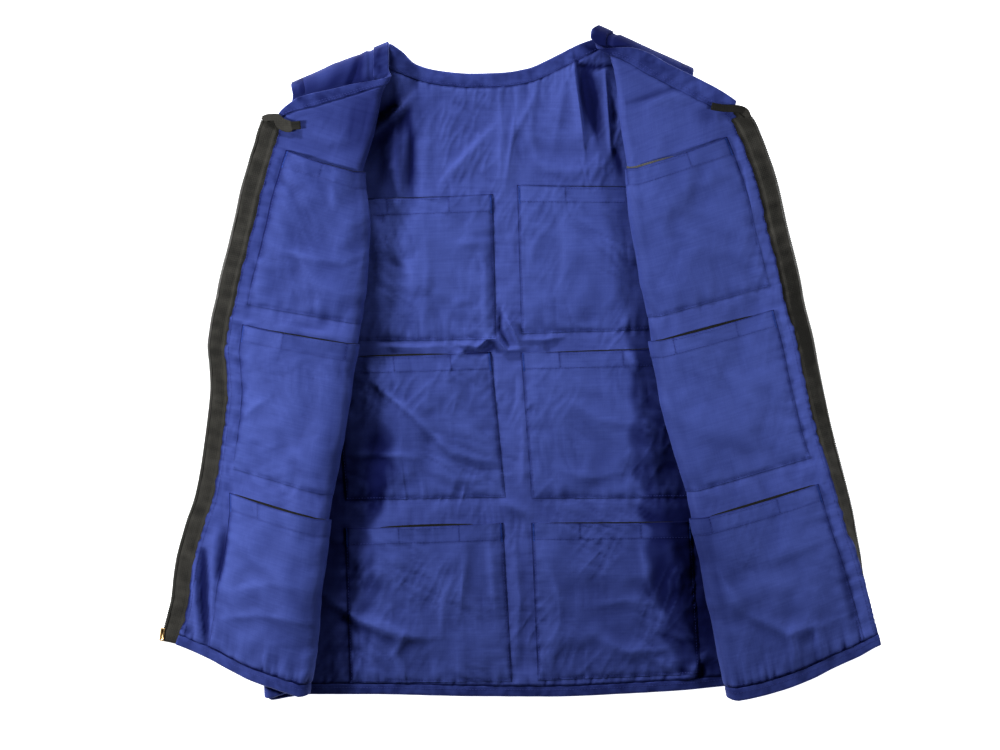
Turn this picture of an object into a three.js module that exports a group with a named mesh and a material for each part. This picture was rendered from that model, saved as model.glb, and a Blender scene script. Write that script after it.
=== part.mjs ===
import * as THREE from "three";

// A sewn vest lying on its back, open, with its inside up. Millimetres, neck toward +Y, floor at Z = 0.
// Each front panel rolls over at the side seam, runs inwards above the back, and is folded back
// outwards at a soft crease, so that its inside faces up as well.

const PANEL_THICK = 4;
const POCKET_THICK = 1.2;
const TAPE_THICK = 1.2;
const TEETH_THICK = 3;
const CLOSURE_THICK = 1;
const SEAM_GAP = 0.3;
const BAND_GAP = 0.8;
const TURN_GAP = 0.6;
const HEM_BAND = 10;
const ARMHOLE_BAND = 12;
const TAPE_WIDTH = 16;
const TEETH_WIDTH = 3.2;
const BACK_GAPE = 7;
const FRONT_GAPE = 9;
const POCKET_HUG = 0.6;
const POCKET_MARGIN = 16;
const MOUTH_HEM = 18;
const CLOSURE_GAP = 0.4;
const ZIP_END_LENGTH = 26;
const ZIP_END_WIDTH = 12.5;
const ZIP_END_CURL = 5;
const ZIP_BOX = { width: 5.2, length: 14, thick: 3.4 };
const ZIP_PIN = { width: 2.6, length: 14, thick: 2.6 };

// Sections of the front panels from the hem to the shoulder seam.
// along: station; foldX, foldY, foldR: crease; underZ: height of the layer below the crease;
// slant: direction of the folded-over layer, degrees; reach: cloth from the start of the crease to
// the zip or neck band; edgeZ: height there; drop, band: fall and width of that band;
// outerX, outerY, outerZ: side or armhole edge; roll: share of the side roll; wrap: pocket cloth
// carried round the crease.
const FRONT_COLUMNS = [
  "along", "foldX", "foldY", "foldR", "underZ", "slant", "reach", "edgeZ", "drop", "band",
  "outerX", "outerY", "outerZ", "roll", "wrap",
];
const FRONT_LEFT = [
  [0, -220.8, -339, 11, 18, 17.5, 168, 4.5, 2, 19.5, -268, -349, 13, 1, 8],
  [178, -201, -161.7, 11, 18, 16.5, 150, 4.5, 2, 19.5, -268, -158, 13, 1, 18],
  [362, -172.5, 22, 10, 18, 10.8, 156, 13, 5, 19.5, -268, 24, 13, 1, 18],
  [392, -167, 52, 10, 18, 10, 155, 17, 6, 19.5, -268, 53, 14, 0.5, 20],
  [483, -161, 144, 9, 19, 15, 133, 25, 5, 19.5, -258, 140, 17, 0, 36],
  [541, -165, 201.6, 8, 20, 18.3, 115, 28, 3, 19.5, -250, 195, 20, 0, 48],
  [566, -159, 226, 7, 21, 18, 114, 29.5, 2, 19.5, -247, 215, 21, 0, 48],
  [602, -150, 262.5, 5.5, 22, 16, 64, 30.5, 0, 25, -243, 238, 22, 0, 40],
  [625, -145, 285.5, 4.8, 23, 12, 26, 32.4, 0, 22, -240.3, 253.5, 23, 0, 40],
  [650, -134.5, 310.5, 3.6, 24, 8, -15, 31, 0, 15, -238.3, 271.5, 24, 0, 40],
  [666, -135, 326.6, 3, 24, 8, -15, 30, 0, 15, -237, 283.5, 24, 0, 40],
  [674.6, -135, 334.7, 3, 20.8, 8, -15, 26, 0, 15, -238.4, 291.6, 20.8, 0, 40],
  [683, -135, 338, 3, 13, 8, -15, 19, 0, 15, -239, 295, 13, 0, 40],
  [691.6, -135, 334.7, 3, 5.2, 8, -15, 11, 0, 15, -238.4, 291.6, 5.2, 0, 40],
  [700, -135, 326.6, 3, 2, 8, -15, 8, 0, 15, -237, 283.5, 2, 0, 40],
];
const FRONT_RIGHT = [
  [0, 218.7, -342, 11, 18, 18.2, 191, 22, 19, 19.5, 236, -340, 13, 1, 3],
  [180, 183, -159.6, 11, 18, 16.2, 177, 20, 14.5, 19.5, 236, -158, 13, 1, 4],
  [366, 139, 25.2, 10, 18, 15.6, 169, 13, 5, 19.5, 236, 25, 13, 1, 5],
  [394, 136, 52.5, 10, 18, 15.6, 166, 16, 5, 19.5, 236, 53, 14, 0.5, 8],
  [485, 121, 141.8, 9, 19, 17.5, 155, 23, 4, 19.5, 224, 138, 17, 0, 20],
  [549, 115, 205.8, 8, 20, 19.5, 142, 27, 2, 19.5, 206, 196, 20, 0, 30],
  [564, 113, 220.5, 7, 21, 20, 131, 29, 1, 19.5, 201, 209, 21, 0, 30],
  [598, 107, 255, 6, 22, 21.8, 90, 30.5, 0, 26, 192, 240, 22, 0, 24],
  [637, 103, 294, 4.5, 23.5, 23, 42, 31.5, 0, 25, 184, 270, 23.5, 0, 24],
  [667, 96, 324.5, 3.5, 24, 24, 8, 31, 0, 22, 180.8, 290, 24, 0, 24],
  [679, 82, 337, 3.25, 24, 24, -15, 30.5, 0, 15, 180.3, 294.5, 24, 0, 24],
  [688, 78.4, 344, 3, 24, 24, -15, 30, 0, 15, 180, 298.5, 24, 0, 24],
  [696.6, 78.4, 352.1, 3, 20.8, 24, -15, 26, 0, 15, 181.4, 306.6, 20.8, 0, 24],
  [705, 78.4, 355.4, 3, 13, 24, -15, 19, 0, 15, 182, 310, 13, 0, 24],
  [713.6, 78.4, 352.1, 3, 5.2, 24, -15, 11, 0, 15, 181.4, 306.6, 5.2, 0, 24],
  [722, 78.4, 344, 3, 2, 24, -15, 8, 0, 15, 180, 298.5, 2, 0, 24],
];

// Stations of the front pockets, bottom seam and open mouth, counted from the neck down.
const FRONT_POCKETS = {
  left: [
    { bottom: 384, mouth: 541 },
    { bottom: 204, mouth: 362 },
    { bottom: HEM_BAND + 1, mouth: 178 },
  ],
  right: [
    { bottom: 392, mouth: 549 },
    { bottom: 208, mouth: 366 },
    { bottom: HEM_BAND + 1, mouth: 180 },
  ],
};
const ZIP_TOP = { left: 566, right: 564 };
const STRAP_STATIONS = {
  left: [554, 566, 584, 602, 615, 625, 628, 631, 634, 637, 640, 643, 646, 650, 658, 666, 674.6, 683, 691.6, 700],
  right: [564, 581, 598, 618, 637, 652, 667, 679, 688, 696.6, 705, 713.6, 722],
};

// Side edges of the back from hem to shoulder: y, left edge, right edge, armhole band.
const BACK_COLUMNS = ["along", "leftX", "rightX", "band"];
const BACK_SIDES = [
  [-351, -267.7, 235.7, 0],
  [54, -267.7, 235.7, 0],
  [62, -267, 235, ARMHOLE_BAND + SEAM_GAP],
  [140, -258, 223.5, ARMHOLE_BAND + SEAM_GAP],
  [196, -250, 206, ARMHOLE_BAND + SEAM_GAP],
  [240, -243, 192, ARMHOLE_BAND + SEAM_GAP],
  [283, -237, 182, ARMHOLE_BAND + SEAM_GAP],
  [300, -237, 180, ARMHOLE_BAND + SEAM_GAP],
];
// Back neck band: free edge, then the seam to the panel.
const NECK_BAND = [
  { outer: [-138, 325.9], inner: [-153, 319.3] },
  { outer: [-110, 316], inner: [-118, 304] },
  { outer: [-86.6, 309], inner: [-91, 296.5] },
  { outer: [-51, 305.6], inner: [-52, 292.5] },
  { outer: [-18.4, 306.6], inner: [-17, 293.5] },
  { outer: [8, 310.8], inner: [12, 298.3] },
  { outer: [37.3, 323.5], inner: [43.5, 312.2] },
  { outer: [62, 336], inner: [70.5, 325.5] },
  { outer: [81.4, 343], inner: [96, 336.4] },
];
// Rows of the back from the hem to the underarm, then up the armholes to the shoulders.
const SIDE_ROWS = [0, 0.605];
const ARMHOLE_ROWS = [0.64, 1];
const SHOULDER_LEFT = { tip: [-237, 283], neck: [-153, 319.3] };
const SHOULDER_RIGHT = { tip: [180, 298], neck: [96, 336.4] };
const HEM_LEFT_Y = -351;
const HEM_RISE = 12;

// Folds standing up from the back: ends, height and half-width.
const BACK_FOLDS = [
  { from: [76, 236], to: [72, 318], height: 9, spread: 20 },
  { from: [-28, 262], to: [-80, 212], height: 4, spread: 22 },
];

// Back pockets: corners at the mouth and at the bottom seam, left then right.
const BACK_POCKETS = {
  back_left_pocket_1: { mouth: [[-194, 174], [-28, 179.5]], bottom: [[-190, 25], [-24.5, 27]] },
  back_left_pocket_2: { mouth: [[-196, 8.5], [-30, 13.5]], bottom: [[-183, -142.5], [-15, -139]] },
  back_left_pocket_3: { mouth: [[-184, -171.5], [-17.5, -166]], bottom: [[-178.5, -334.5], [-8, -333]] },
  back_right_pocket_1: { mouth: [[-2.5, 189], [166, 188]], bottom: [[2, 33], [170, 38]] },
  back_right_pocket_2: { mouth: [[1.5, 13], [168, 18.5]], bottom: [[13, -140.5], [181, -139.5]] },
  back_right_pocket_3: { mouth: [[12.5, -166], [181, -164.5]], bottom: [[19.5, -332], [190, -325]] },
};
const POCKET_ACROSS = [0, 0.1, 0.2, 0.3, 0.5, 0.7, 0.8, 0.9, 1];
const CLOSURE_ACROSS = [0.3, 0.5, 0.7];

const CLOTH = { color: 0x46549f, roughness: 0.75 };
const POCKET_CLOTH = { color: 0x4a58a6, roughness: 0.75 };
const BAND_CLOTH = { color: 0x404d98, roughness: 0.75 };
const TAPE_CLOTH = { color: 0x3e3c36, roughness: 0.9 };
const DARK_PLASTIC = { color: 0x2a2925, roughness: 0.5 };
const BRASS = { color: 0xc8a56e, roughness: 0.35, metalness: 1 };

const vest = new THREE.Group();
vest.name = "weighted_vest";

function add(name, geometry, finish) {
  const mesh = new THREE.Mesh(geometry, new THREE.MeshStandardMaterial(finish));
  mesh.name = name;
  vest.add(mesh);
}

function mix(a, b, share) {
  return a + (b - a) * share;
}

function ease(share) {
  const s = Math.min(Math.max(share, 0), 1);
  return s * s * (3 - 2 * s);
}

function spread(from, to, steps) {
  return Array.from({ length: steps + 1 }, (_, i) => mix(from, to, i / steps));
}

// A curve through one column of a table that never overshoots its rows.
function columnCurve(rows, column) {
  const x = rows.map((row) => row[0]);
  const y = rows.map((row) => row[column]);
  const step = x.slice(1).map((value, i) => value - x[i]);
  const slope = step.map((length, i) => (y[i + 1] - y[i]) / length);
  const last = step.length - 1;
  const end = (near, next) => {
    const lean = slope[near] + (slope[near] - slope[next]) / 2;
    return lean * slope[near] <= 0 ? 0 : lean;
  };
  const tangent = y.map((_, i) => {
    if (i === 0) return end(0, 1);
    if (i > last) return end(last, last - 1);
    if (slope[i - 1] * slope[i] <= 0) return 0;
    const before = 2 * step[i] + step[i - 1];
    const after = step[i] + 2 * step[i - 1];
    return (before + after) / (before / slope[i - 1] + after / slope[i]);
  });
  return (at) => {
    const t = Math.min(Math.max(at, x[0]), x[x.length - 1]);
    const next = x.findIndex((value) => value > t);
    const k = next < 0 ? last : next - 1;
    const s = (t - x[k]) / step[k];
    const rise = s * s * (3 - 2 * s);
    const lead = s * (1 - s) * (1 - s) * tangent[k];
    const trail = s * s * (s - 1) * tangent[k + 1];
    return mix(y[k], y[k + 1], rise) + step[k] * (lead + trail);
  };
}

function tableCurves(columns, rows) {
  const curves = columns.map((name, i) => [name, columnCurve(rows, i)]);
  return (at) => Object.fromEntries(curves.map(([name, curve]) => [name, curve(at)]));
}

// A closed sheet between two matching grids of points.
function sheetSolid(high, low) {
  const rows = high.length;
  const cols = high[0].length;
  const positions = [];
  for (const layer of [high, low]) {
    for (const row of layer) {
      for (const point of row) positions.push(point.x, point.y, point.z);
    }
  }
  const at = (layer, i, j) => (layer * rows + i) * cols + j;
  const faces = [];
  const quad = (a, b, c, d) => faces.push(a, b, c, a, c, d);
  for (let i = 0; i < rows - 1; i += 1) {
    for (let j = 0; j < cols - 1; j += 1) {
      quad(at(0, i, j), at(0, i, j + 1), at(0, i + 1, j + 1), at(0, i + 1, j));
      quad(at(1, i, j), at(1, i + 1, j), at(1, i + 1, j + 1), at(1, i, j + 1));
    }
  }
  for (let j = 0; j < cols - 1; j += 1) {
    quad(at(0, 0, j + 1), at(0, 0, j), at(1, 0, j), at(1, 0, j + 1));
    quad(at(0, rows - 1, j), at(0, rows - 1, j + 1), at(1, rows - 1, j + 1), at(1, rows - 1, j));
  }
  for (let i = 0; i < rows - 1; i += 1) {
    quad(at(0, i, 0), at(0, i + 1, 0), at(1, i + 1, 0), at(1, i, 0));
    quad(at(0, i + 1, cols - 1), at(0, i, cols - 1), at(1, i, cols - 1), at(1, i + 1, cols - 1));
  }
  const corner = (k) => new THREE.Vector3().fromArray(positions, 3 * faces[k]);
  let volume = 0;
  for (let k = 0; k < faces.length; k += 3) {
    volume += corner(k).dot(corner(k + 1).cross(corner(k + 2)));
  }
  if (volume < 0) faces.reverse();
  const geometry = new THREE.BufferGeometry();
  geometry.setAttribute("position", new THREE.Float32BufferAttribute(positions, 3));
  geometry.setIndex(faces);
  geometry.computeVertexNormals();
  return geometry;
}

// The middle surface of a front panel: across is measured from the start of the crease, positive
// toward the zip and negative toward the side seam.
function frontSurface(rows, inward) {
  const section = tableCurves(FRONT_COLUMNS, rows);

  function shape(along) {
    const s = section(along);
    s.startX = s.foldX - inward * s.foldR;
    s.outer = -Math.abs(s.outerX - s.startX);
    s.loop = Math.PI * s.foldR;
    s.rollRadius = (s.outerZ - PANEL_THICK / 2) / 2;
    return s;
  }

  function point(across, along) {
    const s = shape(along);
    if (across < s.outer) {
      const turn = (s.outer - across) / Math.max(s.rollRadius, 0.5);
      const x = s.outerX - inward * s.rollRadius * Math.sin(turn);
      return new THREE.Vector3(x, s.outerY, s.outerZ - s.rollRadius * (1 - Math.cos(turn)));
    }
    if (across <= 0) {
      const share = across / s.outer;
      const y = mix(s.foldY, s.outerY, share);
      return new THREE.Vector3(s.startX + inward * across, y, mix(s.underZ, s.outerZ, ease(share)));
    }
    if (across < s.loop) {
      const turn = across / s.foldR;
      const x = s.startX + inward * s.foldR * Math.sin(turn);
      return new THREE.Vector3(x, s.foldY, s.underZ + s.foldR * (1 - Math.cos(turn)));
    }
    const top = s.underZ + 2 * s.foldR;
    const run = Math.max(s.reach - s.loop, 1);
    const past = Math.max(across - s.loop - run, 0);
    const level = Math.sqrt(1 - (s.drop / s.band) ** 2);
    const flat = Math.min(across - s.loop, run) + past * level;
    const z = mix(top, s.edgeZ, ease((across - s.loop) / run)) - (s.drop * past) / s.band;
    const slant = THREE.MathUtils.degToRad(s.slant);
    return new THREE.Vector3(
      s.startX - inward * flat * Math.cos(slant),
      s.foldY + flat * Math.sin(slant),
      z,
    );
  }

  function normal(across, along) {
    const e = 0.4;
    const byAcross = point(across + e, along).sub(point(across - e, along));
    const byAlong = point(across, along + e).sub(point(across, along - e));
    return byAcross.cross(byAlong).normalize().multiplyScalar(-inward);
  }

  // Grid columns of the panel itself, broken at the side roll, the pocket edges and the crease.
  function columns(along) {
    const s = shape(along);
    const roll = Math.max(s.roll, 0);
    const armhole = (ARMHOLE_BAND + SEAM_GAP) * (1 - roll);
    const start = s.outer - Math.PI * s.rollRadius * roll + armhole;
    const rollEnd = s.outer + armhole + 8 * (1 - roll);
    const pocketZip = s.reach - POCKET_MARGIN;
    const loopEnd = Math.min(s.loop, pocketZip - 5);
    const loopStart = Math.min(0, loopEnd - 5);
    const pocketSide = Math.min(-s.wrap, loopStart - 2);
    return {
      start,
      edge: s.outer - Math.PI * s.rollRadius * roll,
      pocketSide,
      loopEnd,
      pocketZip,
      panel: [
        ...spread(start, rollEnd, 3),
        ...spread(rollEnd, pocketSide, 2).slice(1),
        loopStart,
        ...spread(loopStart, loopEnd, 5).slice(1),
        ...spread(loopEnd, pocketZip, 4).slice(1),
        s.reach,
      ],
      pocket: [
        pocketSide,
        ...spread(loopStart, loopEnd, 5),
        ...spread(loopEnd, pocketZip, 4).slice(1),
      ],
      closure: spread(loopEnd, pocketZip, 4).slice(1, 4),
      reach: s.reach,
      band: s.band,
    };
  }

  return { point, normal, columns };
}

// A sheet laid on a front surface; lift(across, along) gives its two faces, inside face first.
function frontSheet(surface, stations, acrossAt, lift) {
  const faces = stations.map((along) =>
    acrossAt(along).map((across) => {
      const point = surface.point(across, along);
      const normal = surface.normal(across, along);
      return lift(across, along).map((height) => point.clone().addScaledVector(normal, height));
    }),
  );
  return sheetSolid(
    faces.map((row) => row.map((pair) => pair[0])),
    faces.map((row) => row.map((pair) => pair[1])),
  );
}

function pocketStations(pocket) {
  return [...spread(pocket.bottom, pocket.mouth - MOUTH_HEM, 4), pocket.mouth];
}

function gapeShare(across, upward) {
  return (1 - (2 * across - 1) ** 4) * Math.sin((Math.PI / 2) * upward) ** 0.8;
}

function buildFront(side, rows, inward) {
  const surface = frontSurface(rows, inward);
  const pockets = FRONT_POCKETS[side];
  const name = (piece) => `front_${side}_${piece}`;
  const half = PANEL_THICK / 2;
  const flat = (thick) => () => [thick / 2, -thick / 2];
  const strap = STRAP_STATIONS[side];
  const pocketLines = pockets.flatMap((pocket) => pocketStations(pocket));
  const panelLines = [HEM_BAND + SEAM_GAP, ...pocketLines.sort((a, b) => a - b).slice(1), ...strap];
  const panelAcross = (along) => surface.columns(along).panel;

  add(name("panel"), frontSheet(surface, panelLines, panelAcross, flat(PANEL_THICK)), CLOTH);
  add(name("hem"), frontSheet(surface, [0, HEM_BAND], panelAcross, flat(PANEL_THICK)), BAND_CLOTH);

  const bandAcross = (along) => {
    const { reach, band } = surface.columns(along);
    const turning = Math.max(0, 1 - Math.abs(reach - 3) / 20);
    return spread(reach + BAND_GAP + TURN_GAP * turning, reach + band, 4);
  };
  const bandLines = strap.filter((along) => along > ZIP_TOP[side]);
  bandLines.unshift(ZIP_TOP[side] + 1);
  add(name("neck_band"), frontSheet(surface, bandLines, bandAcross, flat(PANEL_THICK)), BAND_CLOTH);

  const armAcross = (along) => {
    const { edge, start } = surface.columns(along);
    return [edge, start - SEAM_GAP];
  };
  const armLines = panelLines.filter((along) => along > 388);
  add(name("armhole_band"), frontSheet(surface, armLines, armAcross, flat(PANEL_THICK)), BAND_CLOTH);

  pockets.forEach((pocket, index) => {
    const lines = pocketStations(pocket);
    const gape = (across, along) => {
      const { loopEnd, pocketZip } = surface.columns(along);
      const share = (across - loopEnd) / (pocketZip - loopEnd);
      const upward = (along - pocket.bottom) / (pocket.mouth - pocket.bottom);
      const hug = across < pocketZip - 1 ? POCKET_HUG * ease(upward * 3) : 0;
      return share <= 0 ? hug : Math.max(hug, FRONT_GAPE * gapeShare(share, upward));
    };
    const under = (across, along) => half + SEAM_GAP + gape(across, along);
    const wall = (across, along) => [under(across, along) + POCKET_THICK, under(across, along)];
    const strip = (across, along) => [
      under(across, along) - CLOSURE_GAP,
      under(across, along) - CLOSURE_GAP - CLOSURE_THICK,
    ];
    const label = name(`pocket_${index + 1}`);
    add(label, frontSheet(surface, lines, (along) => surface.columns(along).pocket, wall), POCKET_CLOTH);
    const mouth = [pocket.mouth - MOUTH_HEM, pocket.mouth];
    const closure = frontSheet(surface, mouth, (along) => surface.columns(along).closure, strip);
    add(`${label}_closure`, closure, TAPE_CLOTH);
  });

  const zipLines = [0, ZIP_BOX.length + 1, ...panelLines.slice(1).filter((along) => along < ZIP_TOP[side])];
  const zipStations = [...zipLines, ZIP_TOP[side]];
  const tapeAcross = (along) => {
    const { reach } = surface.columns(along);
    return [reach + BAND_GAP, reach + TAPE_WIDTH];
  };
  add(`zip_tape_${side}`, frontSheet(surface, zipStations, tapeAcross, flat(TAPE_THICK)), TAPE_CLOTH);

  const lane = (width) => (along) => {
    const { reach } = surface.columns(along);
    return [reach + TAPE_WIDTH + SEAM_GAP, reach + TAPE_WIDTH + SEAM_GAP + width];
  };
  const teethLines = zipStations.filter((along) => along > ZIP_BOX.length);
  const teeth = frontSheet(surface, teethLines, lane(TEETH_WIDTH), flat(TEETH_THICK));
  add(`zip_teeth_${side}`, teeth, DARK_PLASTIC);
  const fitting = side === "left" ? ZIP_BOX : ZIP_PIN;
  const fittingLines = [0.5, fitting.length + 0.5];
  const ending = frontSheet(surface, fittingLines, lane(fitting.width), flat(fitting.thick));
  add(side === "left" ? "zip_box_left" : "zip_pin_right", ending, BRASS);

  const endAcross = (along) => {
    const { reach } = surface.columns(along);
    return spread(reach - ZIP_END_LENGTH, reach - 1, 3);
  };
  const endLift = (across, along) => {
    const { reach } = surface.columns(along);
    const free = ((reach - 1 - across) / ZIP_END_LENGTH) ** 3;
    const low = half + CLOSURE_GAP + ZIP_END_CURL * free;
    return [low + TAPE_THICK, low];
  };
  const endLines = [ZIP_TOP[side] - ZIP_END_WIDTH, ZIP_TOP[side]];
  add(`zip_end_${side}`, frontSheet(surface, endLines, endAcross, endLift), TAPE_CLOTH);
}

// How far a point of the back stands above the floor.
function backRise(x, y) {
  let rise = 0;
  for (const fold of BACK_FOLDS) {
    const from = new THREE.Vector2(...fold.from);
    const run = new THREE.Vector2(...fold.to).sub(from);
    const place = new THREE.Vector2(x, y).sub(from);
    const share = Math.min(Math.max(place.dot(run) / run.lengthSq(), 0), 1);
    const away = place.sub(run.multiplyScalar(share)).length();
    rise += fold.height * Math.exp(-((away / fold.spread) ** 2) * 2);
  }
  return rise > 0.4 ? rise : 0;
}

function flatSheet(grid, thick) {
  const lift = (height) =>
    grid.map((row) => row.map(([x, y]) => new THREE.Vector3(x, y, backRise(x, y) + height)));
  return sheetSolid(lift(thick), lift(0));
}

function buildBack() {
  const sides = tableCurves(BACK_COLUMNS, BACK_SIDES);
  const inset = ARMHOLE_BAND + SEAM_GAP;
  const onSeam = (shoulder, x) => {
    const share = (x - shoulder.tip[0]) / (shoulder.neck[0] - shoulder.tip[0]);
    return [x, mix(shoulder.tip[1], shoulder.neck[1], share)];
  };
  const leftEnd = SHOULDER_LEFT.tip[0] + inset;
  const rightEnd = SHOULDER_RIGHT.tip[0] - inset;
  const top = [
    ...spread(leftEnd, SHOULDER_LEFT.neck[0] - SEAM_GAP, 3).map((x) => onSeam(SHOULDER_LEFT, x)),
    ...NECK_BAND.slice(1, -1).map((row) => [row.inner[0], row.inner[1] - SEAM_GAP]),
    ...spread(SHOULDER_RIGHT.neck[0] + SEAM_GAP, rightEnd, 3).map((x) => onSeam(SHOULDER_RIGHT, x)),
  ];
  const share = (x) => (x - leftEnd) / (rightEnd - leftEnd);
  const hemY = (across) => HEM_LEFT_Y + HEM_RISE * across * across;
  const place = (across, y) => {
    const s = sides(y);
    return [mix(s.leftX + s.band, s.rightX - s.band, across), y];
  };

  const armholeUps = spread(...ARMHOLE_ROWS, 7);
  const rows = [...spread(...SIDE_ROWS, 10), ...armholeUps].map((up) =>
    top.map(([x, y]) => {
      const across = share(x);
      return place(across, mix(hemY(across) + HEM_BAND + SEAM_GAP, y, up));
    }),
  );
  rows[rows.length - 1] = top;
  add("back_panel", flatSheet(rows, PANEL_THICK), CLOTH);

  const hem = [0, HEM_BAND].map((up) => top.map(([x]) => place(share(x), hemY(share(x)) + up)));
  add("back_hem", flatSheet(hem, PANEL_THICK), BAND_CLOTH);
  const neck = [NECK_BAND.map((row) => row.inner), NECK_BAND.map((row) => row.outer)];
  add("back_neck_band", flatSheet(neck, PANEL_THICK), BAND_CLOTH);

  const armhole = (shoulder, column, edge, inward) =>
    rows.slice(-armholeUps.length).map((row, i) => {
      const y = row[column][1];
      const fall = (top[column][1] - shoulder.tip[1]) * (i / (armholeUps.length - 1));
      const inner = [sides(y)[edge] + inward * ARMHOLE_BAND, y];
      const outer = [sides(y - fall)[edge], y - fall];
      return [inner, outer];
    });
  const leftArm = armhole(SHOULDER_LEFT, 0, "leftX", 1);
  const rightArm = armhole(SHOULDER_RIGHT, top.length - 1, "rightX", -1);
  add("back_left_armhole_band", flatSheet(leftArm, PANEL_THICK), BAND_CLOTH);
  add("back_right_armhole_band", flatSheet(rightArm, PANEL_THICK), BAND_CLOTH);
}

function buildBackPocket(name, pocket) {
  const place = (across, up, height) => {
    const along = (edge, k) => mix(edge[0][k], edge[1][k], across);
    const x = mix(along(pocket.bottom, 0), along(pocket.mouth, 0), up);
    const y = mix(along(pocket.bottom, 1), along(pocket.mouth, 1), up);
    return new THREE.Vector3(x, y, height);
  };
  const length = pocket.mouth[0][1] - pocket.bottom[0][1];
  const hem = 1 - MOUTH_HEM / length;
  const under = (across, up) => PANEL_THICK + SEAM_GAP + BACK_GAPE * gapeShare(across, up);
  const sheet = (acrossList, upList, high, low) =>
    sheetSolid(
      ...[high, low].map((lift) =>
        upList.map((up) => acrossList.map((across) => place(across, up, under(across, up) + lift))),
      ),
    );
  add(name, sheet(POCKET_ACROSS, [...spread(0, hem, 4), 1], POCKET_THICK, 0), POCKET_CLOTH);
  const closure = sheet(CLOSURE_ACROSS, [hem, 1], -CLOSURE_GAP, -CLOSURE_GAP - CLOSURE_THICK);
  add(`${name}_closure`, closure, TAPE_CLOTH);
}

buildBack();
for (const [name, pocket] of Object.entries(BACK_POCKETS)) buildBackPocket(name, pocket);
buildFront("left", FRONT_LEFT, 1);
buildFront("right", FRONT_RIGHT, -1);

export default vest;
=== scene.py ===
import bmesh
import bpy
import math
import numpy as np
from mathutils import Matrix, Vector


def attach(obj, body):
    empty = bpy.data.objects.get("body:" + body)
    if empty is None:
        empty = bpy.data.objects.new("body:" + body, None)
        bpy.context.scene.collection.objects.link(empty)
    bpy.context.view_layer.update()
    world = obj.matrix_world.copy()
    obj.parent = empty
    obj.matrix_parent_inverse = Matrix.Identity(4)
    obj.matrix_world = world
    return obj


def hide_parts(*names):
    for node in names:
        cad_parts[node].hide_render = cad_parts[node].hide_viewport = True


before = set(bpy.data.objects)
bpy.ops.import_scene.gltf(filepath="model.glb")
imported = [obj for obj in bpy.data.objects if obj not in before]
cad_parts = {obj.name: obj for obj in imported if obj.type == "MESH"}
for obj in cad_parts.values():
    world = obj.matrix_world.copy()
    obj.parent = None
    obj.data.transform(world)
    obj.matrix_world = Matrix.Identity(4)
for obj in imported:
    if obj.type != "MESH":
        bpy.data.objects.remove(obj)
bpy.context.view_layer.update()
mm = 0.001
print("frame loaded:", len(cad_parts), "nodes")

# camera, light and floor

camera = {"middle": (-20.5, -10.5), "height": 7000.0, "width": 1050.0, "level": 15.0,
          "sensor": 36.0, "far": 50}
photo = {"middle": (519.5, 365.0), "scale": 1.05}  # the pixel over the origin, millimetres to a pixel
lights = {
    "left": {"place": (-1.0, 0.1, 0.68), "aim": (-0.1, 0.0, 0.0), "size": (0.12, 0.2), "power": 9.6},
    "right": {"place": (0.66, 0.12, 0.62), "aim": (0.1, 0.0, 0.0), "size": (0.09, 0.16), "power": 2.8},
    "top": {"place": (-0.35, 1.05, 0.48), "aim": (0.0, 0.05, 0.0), "size": (0.2, 0.1), "power": 6.5},
}
floorLook = {"size": 9.0, "colour": (0.93, 0.93, 0.93, 1), "glow": 0.95, "rough": 0.9}
airLook = {"colour": (0.95, 0.97, 1.0, 1), "power": 0.035}


def fromPhoto(px, py):  # a pixel of the flat lay as millimetres on the floor
    return (px - photo["middle"][0]) * photo["scale"], (photo["middle"][1] - py) * photo["scale"]


def show(name, data):  # a new object in the scene
    made = bpy.data.objects.new(name, data)
    bpy.context.scene.collection.objects.link(made)
    return made


def setCamera():
    data = bpy.data.cameras.new("flatLay")
    data.sensor_width = camera["sensor"]
    data.lens = camera["sensor"] * (camera["height"] - camera["level"]) / camera["width"]
    data.clip_end = camera["far"]
    view = show("flatLay", data)
    view.location = [v * mm for v in (*camera["middle"], camera["height"])]
    bpy.context.scene.camera = view


def setLights():
    for name, one in lights.items():
        lamp = bpy.data.lights.new(name + "Light", "AREA")
        lamp.shape = "RECTANGLE"
        lamp.size, lamp.size_y = one["size"]
        lamp.energy = one["power"]
        holder = show(name + "Light", lamp)
        holder.location = one["place"]
        holder.rotation_mode = "QUATERNION"
        holder.rotation_quaternion = (Vector(one["place"]) - Vector(one["aim"])).to_track_quat("Z", "Y")


def setFloor():
    half = floorLook["size"] / 2
    mesh = bpy.data.meshes.new("floor")
    corners = [(-half, -half, 0), (half, -half, 0), (half, half, 0), (-half, half, 0)]
    mesh.from_pydata(corners, [], [(0, 1, 2, 3)])
    paint = bpy.data.materials.new("paleFloor")
    paint.use_nodes = True
    shader = paint.node_tree.nodes["Principled BSDF"]
    shader.inputs["Base Color"].default_value = floorLook["colour"]
    shader.inputs["Roughness"].default_value = floorLook["rough"]
    shader.inputs["Specular IOR Level"].default_value = 0.0
    shader.inputs["Emission Color"].default_value = (1, 1, 1, 1)
    shader.inputs["Emission Strength"].default_value = floorLook["glow"]
    mesh.materials.append(paint)
    show("floor", mesh)


def setAir():
    world = bpy.data.worlds.new("studio")
    world.use_nodes = True
    air = world.node_tree.nodes["Background"]
    air.inputs["Color"].default_value = airLook["colour"]
    air.inputs["Strength"].default_value = airLook["power"]
    bpy.context.scene.world = world
    bpy.context.scene.view_settings.view_transform = "Standard"
    bpy.context.scene.view_settings.look = "Medium High Contrast"


setCamera()
setLights()
setFloor()
setAir()
print("stage set")

# curves, noise and folds


def mix(a, b, share):
    return a + (b - a) * share


def ease(share):
    s = np.clip(share, 0, 1)
    return s * s * (3 - 2 * s)


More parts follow.
